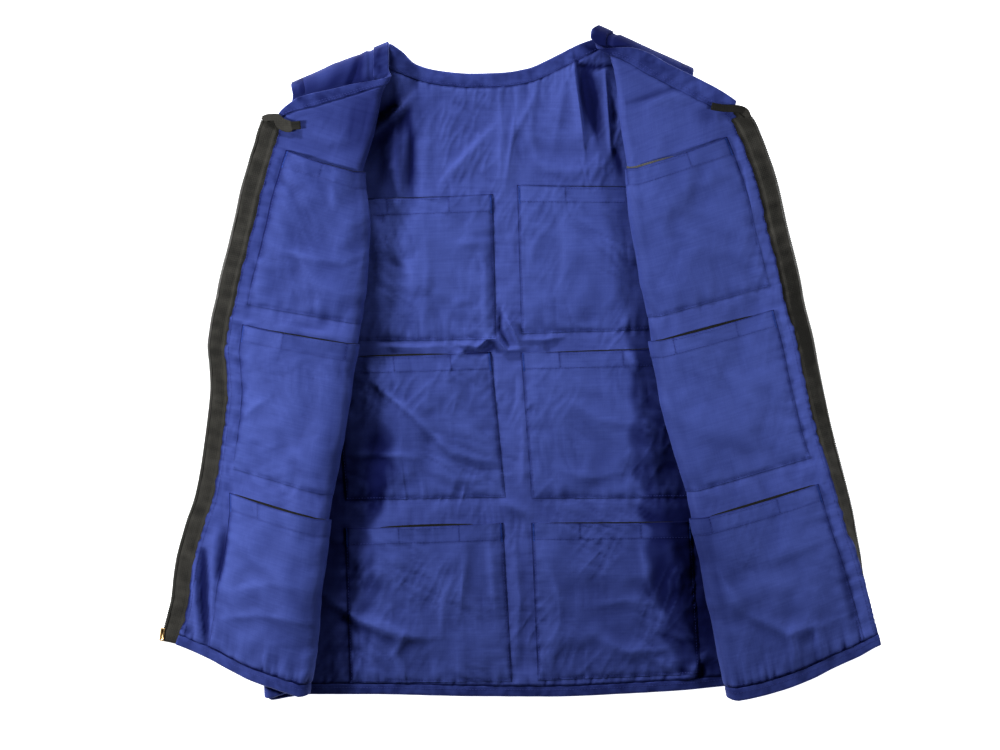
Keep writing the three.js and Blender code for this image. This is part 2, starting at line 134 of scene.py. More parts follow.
def columnCurve(x, y):  # a curve through the rows that never overshoots them
    x, y = np.array(x, float), np.array(y, float)
    step = np.diff(x)
    slope = np.diff(y) / step
    tangent = np.zeros(len(x))
    for i in range(1, len(x) - 1):
        if slope[i - 1] * slope[i] > 0:
            before, after = 2 * step[i] + step[i - 1], step[i] + 2 * step[i - 1]
            tangent[i] = (before + after) / (before / slope[i - 1] + after / slope[i])
    for end, near, further in ((0, 0, 1), (-1, -1, -2)):
        lean = slope[near] + (slope[near] - slope[further]) / 2
        tangent[end] = lean if lean * slope[near] > 0 else 0

    def curve(at):
        t = np.clip(at, x[0], x[-1])
        k = np.clip(np.searchsorted(x, t, "right") - 1, 0, len(step) - 1)
        s = (t - x[k]) / step[k]
        lead, trail = s * (1 - s) ** 2 * tangent[k], s * s * (s - 1) * tangent[k + 1]
        return mix(y[k], y[k + 1], s * s * (3 - 2 * s)) + step[k] * (lead + trail)

    return curve


def tableCurves(columns, rows):
    table = np.array(rows, float)
    return {name: columnCurve(table[:, 0], table[:, i]) for i, name in enumerate(columns)}


def softNoise(x, y, size, seed):  # smooth hills, about -1 to 1; size may be one length or one each way
    angle = np.random.default_rng(seed).uniform(0, 2 * np.pi, (256, 256))
    wide, tall = size if isinstance(size, tuple) else (size, size)
    u, v = x / wide + 71.3, y / tall + 37.9
    i, j = np.floor(u).astype(int), np.floor(v).astype(int)
    du, dv = u - i, v - j
    su, sv = du**3 * (du * (du * 6 - 15) + 10), dv**3 * (dv * (dv * 6 - 15) + 10)

    def corner(a, b):
        turn = angle[(i + a) % 256, (j + b) % 256]
        return np.cos(turn) * (du - a) + np.sin(turn) * (dv - b)

    low = mix(corner(0, 0), corner(1, 0), su)
    return 1.5 * mix(low, mix(corner(0, 1), corner(1, 1), su), sv)


def lineDistance(x, y, points):  # distance to a line of points, its side, and the share along it
    best, side, share = np.full(np.shape(x), 1e9), np.zeros(np.shape(x)), np.zeros(np.shape(x))
    lengths = [math.dist(a, b) for a, b in zip(points, points[1:])]
    done = 0.0
    for (ax, ay), (bx, by), length in zip(points, points[1:], lengths):
        dx, dy = (bx - ax) / length, (by - ay) / length
        along = np.clip((x - ax) * dx + (y - ay) * dy, 0, length)
        away = np.hypot(x - ax - along * dx, y - ay - along * dy)
        nearer = away < best
        best = np.where(nearer, away, best)
        side = np.where(nearer, np.sign((x - ax) * dy - (y - ay) * dx), side)
        share = np.where(nearer, (done + along) / sum(lengths), share)
        done += length
    return best, side, share


foldLook = {"fade": (0.06, 0.88, 0.7), "deep": -1.5, "shade": 0.17, "darkest": 0.8, "narrow": 0.85}


def foldFade(share):  # a fold dies away towards both its ends
    start, span, power = foldLook["fade"]
    return np.sin(np.pi * np.clip(start + span * share, 0, 1)) ** power


def foldLift(x, y, folds):  # soft ridges and valleys laid along lines of photo pixels
    total = np.zeros(np.shape(x))
    for line, width, height, lean in folds:
        away, side, share = lineDistance(x, y, [fromPhoto(*p) for p in line])
        reach = width * np.where(side > 0, 1 - lean, 1 + lean)
        profile = 0.4 * np.exp(-((away / reach) ** 2)) + 0.6 * np.exp(-1.5 * away / reach)
        total = total + height * profile * foldFade(share)
    return total


def foldShade(x, y, folds):  # little light reaches the bottom of a deep fold
    total = np.zeros(np.shape(x))
    for line, width, height, _ in folds:
        if height < foldLook["deep"]:
            away, _, share = lineDistance(x, y, [fromPhoto(*p) for p in line])
            depth = min(foldLook["darkest"], -foldLook["shade"] * height)
            total = total + depth * np.exp(-((away / (foldLook["narrow"] * width)) ** 2)) * foldFade(share)
    return total


def nearMean(places, reach):  # weights that average over the lines near each line of a grid
    near = np.exp(-(((places[:, None] - places[None, :]) / reach) ** 2)) * np.abs(np.gradient(places))
    return near / near.sum(1, keepdims=True)


def hollow(lift, x, y, reach=7.5, least=-1.2, most=1.6):  # how far the cloth lies below what is around it
    soft = nearMean(y.mean(1), reach) @ lift @ nearMean(x.mean(0), reach).T
    return np.clip(soft - lift, least, most)


def throughPoints(points, count):  # a smooth line through a few points
    steps = np.arange(len(points))
    t = np.linspace(0, len(points) - 1, count)
    return np.stack([columnCurve(steps, [p[k] for p in points])(t) for k in (0, 1)], -1)


def withHeight(flat, height):
    return np.concatenate([flat, height[..., None]], -1)


# cloth shells

shellLook = {"bulge": 0.3, "darkest": 0.92}
paintedShadeAndLight = [  # painted shade where the depth is above nought, painted light where it is below: photo pixel, width and height in millimetres, depth
    (285, 215, 95, 120, 0.32), (290, 400, 80, 90, 0.16), (690, 200, 100, 110, 0.08), (330, 105, 70, 50, 0.28),
    (270, 590, 90, 100, 0.14), (620, 600, 110, 110, 0.24), (430, 590, 110, 100, 0.10),
    (400, 410, 70, 80, 0.12), (655, 48, 60, 26, 0.35), (392, 150, 18, 48, 0.58), (412, 112, 34, 32, 0.22),
    (362, 125, 20, 44, 0.38), (712, 575, 30, 50, 0.28), (696, 524, 20, 26, 0.2), (455, 104, 60, 26, 0.12),
    (440, 270, 64, 72, -0.1), (508, 430, 14, 90, -0.06), (606, 41, 22, 18, 0.6), (655, 80, 36, 16, 0.16),
    (705, 112, 14, 12, 0.35), (376, 478, 10, 34, 0.55), (382, 438, 14, 20, 0.25), (596, 94, 10, 18, 0.36),
    (601, 120, 7, 16, 0.32), (722, 124, 24, 24, 0.2),
]


# painted shade and painted light from the patches above
def paintedShadeTone(x, y):
    total = np.zeros(np.shape(x))
    for px, py, wide, tall, depth in paintedShadeAndLight:
        cx, cy = fromPhoto(px, py)
        total = total + depth * np.exp(-(((x - cx) / wide) ** 2) - ((y - cy) / tall) ** 2)
    return total


def faceTone(shade, face, finish):  # the shade given for one face of a shell, with the painted shade and light patches on the blue cloths
    tone = np.zeros(face.shape[0] * face.shape[1]) if shade is None else np.array(shade, float).ravel()
    if finish.name in clothLook:
        tone = np.clip(tone + paintedShadeTone(face[..., 0], face[..., 1]).ravel(), 0, shellLook["darkest"])
    return tone


def gridQuads(index):  # the corners of every cell in a grid of point numbers
    return np.stack([index[:-1, :-1], index[:-1, 1:], index[1:, 1:], index[1:, :-1]], -1).reshape(-1, 4)


def edgeRing(rows, cols):  # rows and columns of a grid's outer points, once round
    ring = [(0, j) for j in range(cols)] + [(i, cols - 1) for i in range(1, rows)]
    ring += [(rows - 1, j) for j in range(cols - 2, -1, -1)] + [(i, 0) for i in range(rows - 2, 0, -1)]
    return np.array(ring).T


def shellRim(high, low, ringRow, ringCol):  # a rounded lip half way between the two faces
    rows, cols = high.shape[:2]
    middle = (high + low) / 2
    edge = middle[ringRow, ringCol]
    outward = edge - middle[np.clip(ringRow, 1, rows - 2), np.clip(ringCol, 1, cols - 2)]
    outward /= np.maximum(np.linalg.norm(outward, axis=1, keepdims=True), 1e-9)
    thick = np.linalg.norm(high - low, axis=2)[ringRow, ringCol][:, None]
    return edge + outward * thick * shellLook["bulge"]


def quadMesh(name, points, faces, uv):
    mesh = bpy.data.meshes.new(name)
    mesh.vertices.add(len(points))
    mesh.vertices.foreach_set("co", (points * mm).astype(np.float32).ravel())
    mesh.loops.add(faces.size)
    mesh.loops.foreach_set("vertex_index", faces.astype(np.int32).ravel())
    mesh.polygons.add(len(faces))
    mesh.polygons.foreach_set("loop_start", np.arange(0, faces.size, 4, dtype=np.int32))
    mesh.polygons.foreach_set("use_smooth", np.ones(len(faces), bool))
    layer = mesh.uv_layers.new(name="weave")
    layer.data.foreach_set("uv", (uv[faces.ravel()] * mm).astype(np.float32).ravel())
    return mesh


def clothShell(name, high, low, uv, finish, shade=None, underShade=None):  # a closed shell between two grids
    rows, cols = high.shape[:2]
    count = rows * cols
    ringRow, ringCol = edgeRing(rows, cols)
    points = np.concatenate([high.reshape(-1, 3), low.reshape(-1, 3), shellRim(high, low, ringRow, ringCol)])
    index = np.arange(count).reshape(rows, cols)
    quads = gridQuads(index)
    here = index[ringRow, ringCol]
    after = np.roll(here, -1)
    rimHere = np.arange(len(here)) + 2 * count
    rimAfter = np.roll(rimHere, -1)
    faces = np.concatenate([
        quads,
        quads[:, ::-1] + count,
        np.stack([after, here, rimHere, rimAfter], 1),
        np.stack([rimAfter, rimHere, here + count, after + count], 1),
    ])
    a, b, c, d = (points[faces[:, k]] for k in range(4))
    if (np.cross(b - a, c - a) * a).sum() + (np.cross(c - a, d - a) * a).sum() < 0:  # inside out
        faces = faces[:, ::-1]
    flatUv = uv.reshape(-1, 2)
    mesh = quadMesh(name, points, faces, np.concatenate([flatUv, flatUv, flatUv[here]]))
    # the seamShade attribute carries the painted shade worked out for each piece, and on the tapes their own
    # paler lanes too
    upper, under = faceTone(shade, high, finish), faceTone(underShade, low, finish)
    tone = np.concatenate([upper, under, upper[here]]).astype(np.float32)
    mesh.attributes.new("seamShade", "FLOAT", "POINT").data.foreach_set("value", tone)
    mesh.update(calc_edges=True)
    mesh.validate()
    mesh.materials.append(finish)
    return show(name, mesh)


def settle(piece, node):
    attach(piece, "root")
    if node:
        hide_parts(node)
    return piece


# finishes

# dark is the colour that the painted shade mixes each cloth towards
clothLook = {
    "blueCloth": {"colour": (0.060, 0.084, 0.312), "pale": (0.094, 0.132, 0.426),
                  "dark": (0.001, 0.002, 0.058)},
    "pocketCloth": {"colour": (0.058, 0.083, 0.307), "pale": (0.091, 0.129, 0.416),
                    "dark": (0.001, 0.002, 0.056)},
    "bandCloth": {"colour": (0.048, 0.069, 0.272), "pale": (0.074, 0.105, 0.366),
                  "dark": (0.001, 0.002, 0.052)},
}
weaveLook = {"slub": (22, 400, 1), "warp": (700, 22, 1), "patch": 9.0, "speck": 900.0, "crumple": 110.0,
             "pitch": 0.0034, "rough": (0.60, 0.74), "gloss": 0.27, "glossTint": (0.45, 0.55, 1.0, 1),
             "sheen": 0.06, "sheenRough": 0.4, "sheenTint": (0.55, 0.62, 1.0, 1)}
tapeLook = {
    "zipCloth": {"dark": (0.020, 0.0195, 0.0175), "pale": (0.085, 0.082, 0.073), "rib": 0.006},
    "hookTape": {"dark": (0.012, 0.012, 0.011), "pale": (0.13, 0.127, 0.115), "rib": 0.009},
}
solidLook = {
    "toothPlastic": {"dark": (0.012, 0.012, 0.010), "pale": (0.05, 0.047, 0.038),
                     "rough": (0.35, 0.6), "metal": 0.0},
    "dullBrass": {"dark": (0.42, 0.27, 0.11), "pale": (0.72, 0.52, 0.28), "rough": (0.25, 0.5), "metal": 1.0},
}
threadLook = {"seamThread": (0.030, 0.048, 0.26), "tackThread": (0.012, 0.075, 0.42)}


class NodeWork:  # short calls for laying out nodes
    def add(self, kind, **given):
        node = self.tree.nodes.new(kind)
        for key, value in given.items():
            setattr(node, key, value)
        return node

    def link(self, out, into):
        self.tree.links.new(out, into)


class NodeSheet(NodeWork):
    def __init__(self, name):
        self.material = bpy.data.materials.new(name)
        self.material.use_nodes = True
        self.tree = self.material.node_tree
        self.shader = self.tree.nodes["Principled BSDF"]

    def stretch(self, source, scale):
        node = self.add("ShaderNodeMapping")
        node.inputs["Scale"].default_value = scale
        self.link(source, node.inputs["Vector"])
        return node.outputs["Vector"]

    def noise(self, vector, scale, detail=2.0, rough=0.5):
        node = self.add("ShaderNodeTexNoise")
        node.inputs["Scale"].default_value = scale
        node.inputs["Detail"].default_value = detail
        node.inputs["Roughness"].default_value = rough
        self.link(vector, node.inputs["Vector"])
        return node.outputs["Fac"]

    def spread(self, value, low, high):  # the usual range of a noise, drawn out from low to high
        node = self.add("ShaderNodeMapRange")
        node.inputs["From Min"].default_value, node.inputs["From Max"].default_value = 0.25, 0.75
        node.inputs["To Min"].default_value, node.inputs["To Max"].default_value = low, high
        self.link(value, node.inputs["Value"])
        return node.outputs["Result"]

    def join(self, first, second, operation="ADD"):
        node = self.add("ShaderNodeMath", operation=operation)
        self.link(first, node.inputs[0])
        self.link(second, node.inputs[1])
        return node.outputs[0]

    def tint(self, share, first, second):  # between two colours, either of which may come from another node
        node = self.add("ShaderNodeMix", data_type="RGBA")
        ends = [socket for socket in node.inputs if socket.type == "RGBA"]
        for value, socket in zip((first, second), ends):
            if isinstance(value, tuple):
                socket.default_value = (*value, 1)
            else:
                self.link(value, socket)
        self.link(share, node.inputs[0])
        return next(socket for socket in node.outputs if socket.type == "RGBA")

    def bump(self, height, distance, strength, under=None):
        node = self.add("ShaderNodeBump")
        node.inputs["Distance"].default_value = distance
        node.inputs["Strength"].default_value = strength
        self.link(height, node.inputs["Height"])
        if under:
            self.link(under, node.inputs["Normal"])
        return node.outputs["Normal"]

    def attribute(self, name):
        return self.add("ShaderNodeAttribute", attribute_name=name).outputs["Fac"]

    def weaveMap(self):
        return self.add("ShaderNodeUVMap", uv_map="weave").outputs["UV"]

    def place(self):
        return self.add("ShaderNodeTexCoord").outputs["Object"]


def weaveHeight(sheet, uv, pitch):
    wave = []
    for direction in ("X", "Y"):
        node = sheet.add("ShaderNodeTexWave", wave_type="BANDS", bands_direction=direction)
        node.inputs["Scale"].default_value = 1 / pitch
        node.inputs["Distortion"].default_value = 1.2
        node.inputs["Detail"].default_value = 1.0
        sheet.link(uv, node.inputs["Vector"])
        wave.append(node.outputs["Fac"])
    return sheet.join(wave[0], wave[1], "MULTIPLY")


def clothMaterial(name):
    look, sheet = clothLook[name], NodeSheet(name)
    shader, uv = sheet.shader, sheet.weaveMap()
    slub = sheet.noise(sheet.stretch(uv, weaveLook["slub"]), 1.0, 3.0, 0.6)
    warp = sheet.noise(sheet.stretch(uv, weaveLook["warp"]), 1.0)
    patch = sheet.noise(uv, weaveLook["patch"], 3.0)
    speck = sheet.noise(uv, weaveLook["speck"], 1.0)
    threads = sheet.join(sheet.spread(slub, 0.0, 0.5), sheet.spread(warp, 0.0, 0.2))
    blotches = sheet.join(sheet.spread(patch, -0.06, 0.3), sheet.spread(speck, -0.05, 0.1))
    colour = sheet.tint(sheet.join(threads, blotches), look["colour"], look["pale"])
    # painted shade: the seamShade attribute mixes the cloth towards its dark colour
    sheet.link(sheet.tint(sheet.attribute("seamShade"), colour, look["dark"]), shader.inputs["Base Color"])
    sheet.link(sheet.spread(slub, *weaveLook["rough"]), shader.inputs["Roughness"])
    shader.inputs["Specular IOR Level"].default_value = weaveLook["gloss"]
    shader.inputs["Specular Tint"].default_value = weaveLook["glossTint"]
    shader.inputs["Sheen Weight"].default_value = weaveLook["sheen"]
    shader.inputs["Sheen Roughness"].default_value = weaveLook["sheenRough"]
    shader.inputs["Sheen Tint"].default_value = weaveLook["sheenTint"]
    crumpled = sheet.bump(sheet.noise(uv, weaveLook["crumple"], 3.0, 0.55), 0.0009, 0.5)
    streaked = sheet.bump(slub, 0.0002, 0.5, crumpled)
    woven = sheet.bump(weaveHeight(sheet, uv, weaveLook["pitch"]), 0.00012, 0.5, streaked)
    sheet.link(woven, shader.inputs["Normal"])
    return sheet.material


def threadMaterial(name):
    colour, sheet = threadLook[name], NodeSheet(name)
    twist = sheet.noise(sheet.place(), 1500.0)
    dark, pale = tuple(c * 0.7 for c in colour), tuple(min(1, c * 1.25) for c in colour)
    sheet.link(sheet.tint(twist, dark, pale), sheet.shader.inputs["Base Color"])
    sheet.shader.inputs["Roughness"].default_value = 0.6
    sheet.link(sheet.bump(twist, 0.0001, 0.4), sheet.shader.inputs["Normal"])
    return sheet.material


def tapeMaterial(name):
    look, sheet = tapeLook[name], NodeSheet(name)
    uv = sheet.weaveMap()
    ribs = weaveHeight(sheet, uv, look["rib"])
    fuzz = sheet.noise(uv, 700.0, 3.0, 0.6)
    worn = sheet.noise(uv, 60.0, 3.0, 0.6)
    fibres = sheet.join(sheet.spread(ribs, 0.0, 0.25), sheet.spread(fuzz, 0.0, 0.35))
    # the seamShade attribute adds the tape's paler lanes and its painted shade
    tone = sheet.join(sheet.join(fibres, sheet.spread(worn, 0.0, 0.35)), sheet.attribute("seamShade"))
    sheet.link(sheet.tint(tone, look["dark"], look["pale"]), sheet.shader.inputs["Base Color"])
    sheet.link(sheet.spread(fuzz, 0.75, 0.95), sheet.shader.inputs["Roughness"])
    sheet.shader.inputs["Specular IOR Level"].default_value = 0.25
    sheet.link(sheet.bump(ribs, 0.0003, 0.6, sheet.bump(fuzz, 0.0003, 0.5)), sheet.shader.inputs["Normal"])
    return sheet.material


def solidMaterial(name):
    look, sheet = solidLook[name], NodeSheet(name)
    wear = sheet.noise(sheet.place(), 420.0, 4.0, 0.6)
    sheet.link(sheet.tint(wear, look["dark"], look["pale"]), sheet.shader.inputs["Base Color"])
    sheet.link(sheet.spread(wear, *look["rough"]), sheet.shader.inputs["Roughness"])
    sheet.shader.inputs["Metallic"].default_value = look["metal"]
    sheet.link(sheet.bump(wear, 0.0001, 0.3), sheet.shader.inputs["Normal"])
    return sheet.material


blueCloth, pocketCloth, bandCloth = (clothMaterial(name) for name in clothLook)
zipCloth, hookTape = (tapeMaterial(name) for name in tapeLook)
toothPlastic, dullBrass = (solidMaterial(name) for name in solidLook)
seamThread, tackThread = (threadMaterial(name) for name in threadLook)
print("finishes ready")

# the folded fronts

frontColumns = ("along", "foldX", "foldY", "foldR", "underZ", "slant", "reach", "edgeZ", "drop", "band",
                "outerX", "outerY", "outerZ", "roll", "wrap")
frontRows = {
    "left": [
        (0, -220.8, -339, 11, 18, 17.5, 168, 4.5, 2, 19.5, -260.5, -349, 13, 1, 8),
        (178, -201, -161.7, 11, 18, 16.5, 150, 4.5, 2, 19.5, -268, -158, 13, 1, 18),
        (362, -172.5, 22, 10, 18, 10.8, 156, 13, 5, 19.5, -268, 24, 13, 1, 18),
        (392, -167, 52, 10, 18, 10, 155, 17, 6, 19.5, -268, 53, 14, 0.5, 20),
        (483, -161, 144, 9, 19, 15, 133, 25, 5, 19.5, -258, 140, 17, 0, 36),
        (541, -165, 201.6, 8, 20, 18.3, 115, 28, 3, 19.5, -250, 195, 20, 0, 48),
        (566, -159, 226, 7, 21, 18, 114, 29.5, 2, 19.5, -247, 215, 21, 0, 48),
        (602, -150, 262.5, 5.5, 22, 16, 64, 30.5, 0, 25, -243, 238, 22, 0, 40),
        (625, -145, 285.5, 4.8, 23, 12, 26, 32.4, 0, 22, -240.3, 253.5, 23, 0, 40),
        (650, -134.5, 310.5, 3.6, 24, 8, -15, 31, 0, 15, -238.3, 271.5, 24, 0, 40),
        (666, -135, 326.6, 3, 24, 8, -15, 30, 0, 15, -237, 283.5, 24, 0, 40),
        (674.6, -135, 334.7, 3, 20.8, 8, -15, 26, 0, 15, -238.4, 291.6, 20.8, 0, 40),
        (683, -135, 338, 3, 13, 8, -15, 19, 0, 15, -239, 295, 13, 0, 40),
        (691.6, -135, 334.7, 3, 5.2, 8, -15, 11, 0, 15, -238.4, 291.6, 5.2, 0, 40),
        (700, -135, 326.6, 3, 2, 8, -15, 8, 0, 15, -237, 283.5, 2, 0, 40),
    ],
    "right": [
        (0, 218.7, -342, 11, 18, 18.2, 191, 22, 19, 19.5, 236, -340, 13, 1, 3),
        (180, 183, -159.6, 11, 18, 16.2, 177, 20, 14.5, 19.5, 236, -158, 13, 1, 4),
        (366, 139, 25.2, 10, 18, 15.6, 169, 13, 5, 19.5, 236, 25, 13, 1, 5),
        (394, 136, 52.5, 10, 18, 15.6, 166, 16, 5, 19.5, 236, 53, 14, 0.5, 8),
        (485, 121, 141.8, 9, 19, 17.5, 155, 23, 4, 19.5, 224, 138, 17, 0, 20),
        (549, 115, 205.8, 8, 20, 19.5, 142, 27, 2, 19.5, 206, 196, 20, 0, 30),
        (564, 113, 220.5, 7, 21, 20, 131, 29, 1, 19.5, 201, 209, 21, 0, 30),
        (598, 107, 255, 6, 22, 21.8, 90, 30.5, 0, 26, 192, 240, 22, 0, 24),
        (637, 103, 294, 4.5, 23.5, 23, 42, 31.5, 0, 25, 184, 270, 23.5, 0, 24),
        (667, 96, 324.5, 3.5, 24, 24, 8, 31, 0, 22, 180.8, 290, 24, 0, 24),
        (679, 77, 337, 3.25, 24, 24, -15, 30.5, 0, 15, 180.3, 294.5, 24, 0, 24),
        (688, 72.5, 344, 3, 24, 24, -15, 30, 0, 15, 180, 298.5, 24, 0, 24),
        (696.6, 74, 352.1, 3, 20.8, 24, -15, 26, 0, 15, 181.4, 306.6, 20.8, 0, 24),
        (705, 80, 355.4, 3, 13, 24, -15, 19, 0, 15, 182, 310, 13, 0, 24),
        (713.6, 80, 352.1, 3, 5.2, 24, -15, 11, 0, 15, 181.4, 306.6, 5.2, 0, 24),
        (722, 80, 344, 3, 2, 24, -15, 8, 0, 15, 180, 298.5, 2, 0, 24),
    ],
}
frontPockets = {
    "left": ((384, 541), (204, 362), (11, 178)),
    "right": ((392, 549), (208, 366), (11, 180)),
}
zipTop = {"left": 566.0, "right": 564.0}
body = {"half": 2.0, "hem": 10.0, "hemGap": 0.2, "hemFade": 55.0, "armhole": 12.3}
frontRoom = {"crease": 5.0, "wrap": 2.0, "armhole": 8.0}  # least room beside the crease and the armhole
edgeWander = {  # how far the zip edge strays outward, by the length from the hem
    "left": ((0, 2), (42, 1.5), (77, 5.4), (95, 6.5), (130, 4.3), (165, -1), (219, -4.3), (280, -6.5),
             (308, -3.3), (335, 1.5), (428, 2), (459, 4.3), (490, 6.3), (522, 5.4), (545, 1), (566, -1),
             (584, 0), (700, 0)),
    "right": ((0, 0), (60, 1.5), (95, 0.8), (130, -1.4), (180, -2.2), (230, -3.2), (262, -2.2), (296, -0.5),
              (331, 1.5), (366, 0.5), (394, 1.5), (440, 2.2), (485, 4.2), (503, 3.2), (520, 1), (549, -1),
              (564, 0), (722, 0)),
}
hemSag = {  # how far the hem hangs below a straight line, by the share from crease to zip
    "left": ((0, 7.3), (0.35, 6.8), (0.55, 3.2), (0.75, -2.1), (0.98, -5), (1.15, -2.5)),
    "right": ((0, 8.5), (0.17, 11.5), (0.34, 12.6), (0.5, 11.5), (0.67, 7.4), (0.85, 4.2), (1, 0), (1.15, 0)),
}
pocketMargin = {  # from the zip edge to the pockets, by the length from the hem
    "left": ((0, 33), (10, 33), (62, 30), (97, 30), (130, 27), (165, 20), (178, 17), (200, 16), (700, 16)),
    "right": ((0, 16), (300, 16), (722, 16)),
}
tapeTuck = {  # how far the tape turns under, by the length from the hem
    "left": ((0, 0), (300, 0), (700, 0)),
    "right": ((0, 0.4), (70, 0.42), (100, 0.25), (150, 0.0), (722, 0)),
}


class FoldedFront:  # a front's middle surface: across from the crease to the zip, along from the hem up
    def __init__(self, side):
        self.side = side
        self.inward = 1 if side == "left" else -1
        self.curves = tableCurves(frontColumns, frontRows[side])
        tables = (edgeWander, hemSag, pocketMargin, tapeTuck)
        self.wander, self.sag, self.margin, self.tuck = (columnCurve(*zip(*table[side])) for table in tables)
        self.top = frontRows[side][-1][0]
        self.pockets = frontPockets[side]

    def shape(self, along):
        s = {name: curve(along) for name, curve in self.curves.items()}
        s["reach"] = s["reach"] + self.wander(along)
        s["startX"] = s["foldX"] - self.inward * s["foldR"]
        s["outer"] = -np.abs(s["outerX"] - s["startX"])
        s["loop"] = np.pi * s["foldR"]
        s["rollR"] = (s["outerZ"] - body["half"]) / 2
        return s

    def point(self, across, along):
        across, along = np.broadcast_arrays(np.asarray(across, float), np.asarray(along, float))
        s, inward = self.shape(along), self.inward
        turn = (s["outer"] - across) / np.maximum(s["rollR"], 0.5)
        side = np.stack([s["outerX"] - inward * s["rollR"] * np.sin(turn), s["outerY"],
                         s["outerZ"] - s["rollR"] * (1 - np.cos(turn))], -1)
        share = across / s["outer"]
        under = np.stack([s["startX"] + inward * across, mix(s["foldY"], s["outerY"], share),
                          mix(s["underZ"], s["outerZ"], ease(share))], -1)
        turn = across / s["foldR"]
        crease = np.stack([s["startX"] + inward * s["foldR"] * np.sin(turn), s["foldY"],
                           s["underZ"] + s["foldR"] * (1 - np.cos(turn))], -1)
        run = np.maximum(s["reach"] - s["loop"], 1)
        past = np.maximum(across - s["loop"] - run, 0)
        level = np.sqrt(1 - (s["drop"] / s["band"]) ** 2) - self.tuck(along)
        flat = np.minimum(across - s["loop"], run) + past * level
        height = mix(s["underZ"] + 2 * s["foldR"], s["edgeZ"], ease((across - s["loop"]) / run))
        slant = np.radians(s["slant"])
        over = np.stack([s["startX"] - inward * flat * np.cos(slant), s["foldY"] + flat * np.sin(slant),
                         height - s["drop"] * past / s["band"]], -1)
        found = np.where((across < s["loop"])[..., None], crease, over)
        sag = self.sag((across - s["loop"]) / run) * ease(across / s["loop"])
        found[..., 1] -= sag * np.exp(-np.maximum(along, 0) / body["hemFade"])
        found = np.where((across <= 0)[..., None], under, found)
        return np.where((across < s["outer"])[..., None], side, found)

    def normal(self, across, along):  # towards the lining
        step = 0.6
        byAcross = self.point(across + step, along) - self.point(across - step, along)
        byAlong = self.point(across, along + step) - self.point(across, along - step)
        n = np.cross(byAcross, byAlong) * -self.inward
        return n / np.maximum(np.linalg.norm(n, axis=-1, keepdims=True), 1e-9)

    def marks(self, along):  # where the panel's edges, pocket edges and crease lie across it
        s = self.shape(along)
        roll = np.maximum(s["roll"], 0)
        arm = body["armhole"] * (1 - roll)
        edge = s["outer"] - np.pi * s["rollR"] * roll
        pocketZip = s["reach"] - self.margin(along)
        loopEnd = np.minimum(s["loop"], pocketZip - frontRoom["crease"])
        loopStart = np.minimum(0, loopEnd - frontRoom["crease"])
        return {
            "edge": edge,
            "start": edge + arm,
            "rollEnd": s["outer"] + arm + frontRoom["armhole"] * (1 - roll),
            "pocketSide": np.minimum(-s["wrap"], loopStart - frontRoom["wrap"]),
            "loopStart": loopStart,
            "loopEnd": loopEnd,
            "pocketZip": pocketZip,
            "reach": s["reach"],
            "band": s["band"],
            "loop": s["loop"],
        }


fronts = {side: FoldedFront(side) for side in ("left", "right")}
print("fronts laid out")

# folds and wrinkles seen in the flat lay: line of photo pixels, width, height, lean

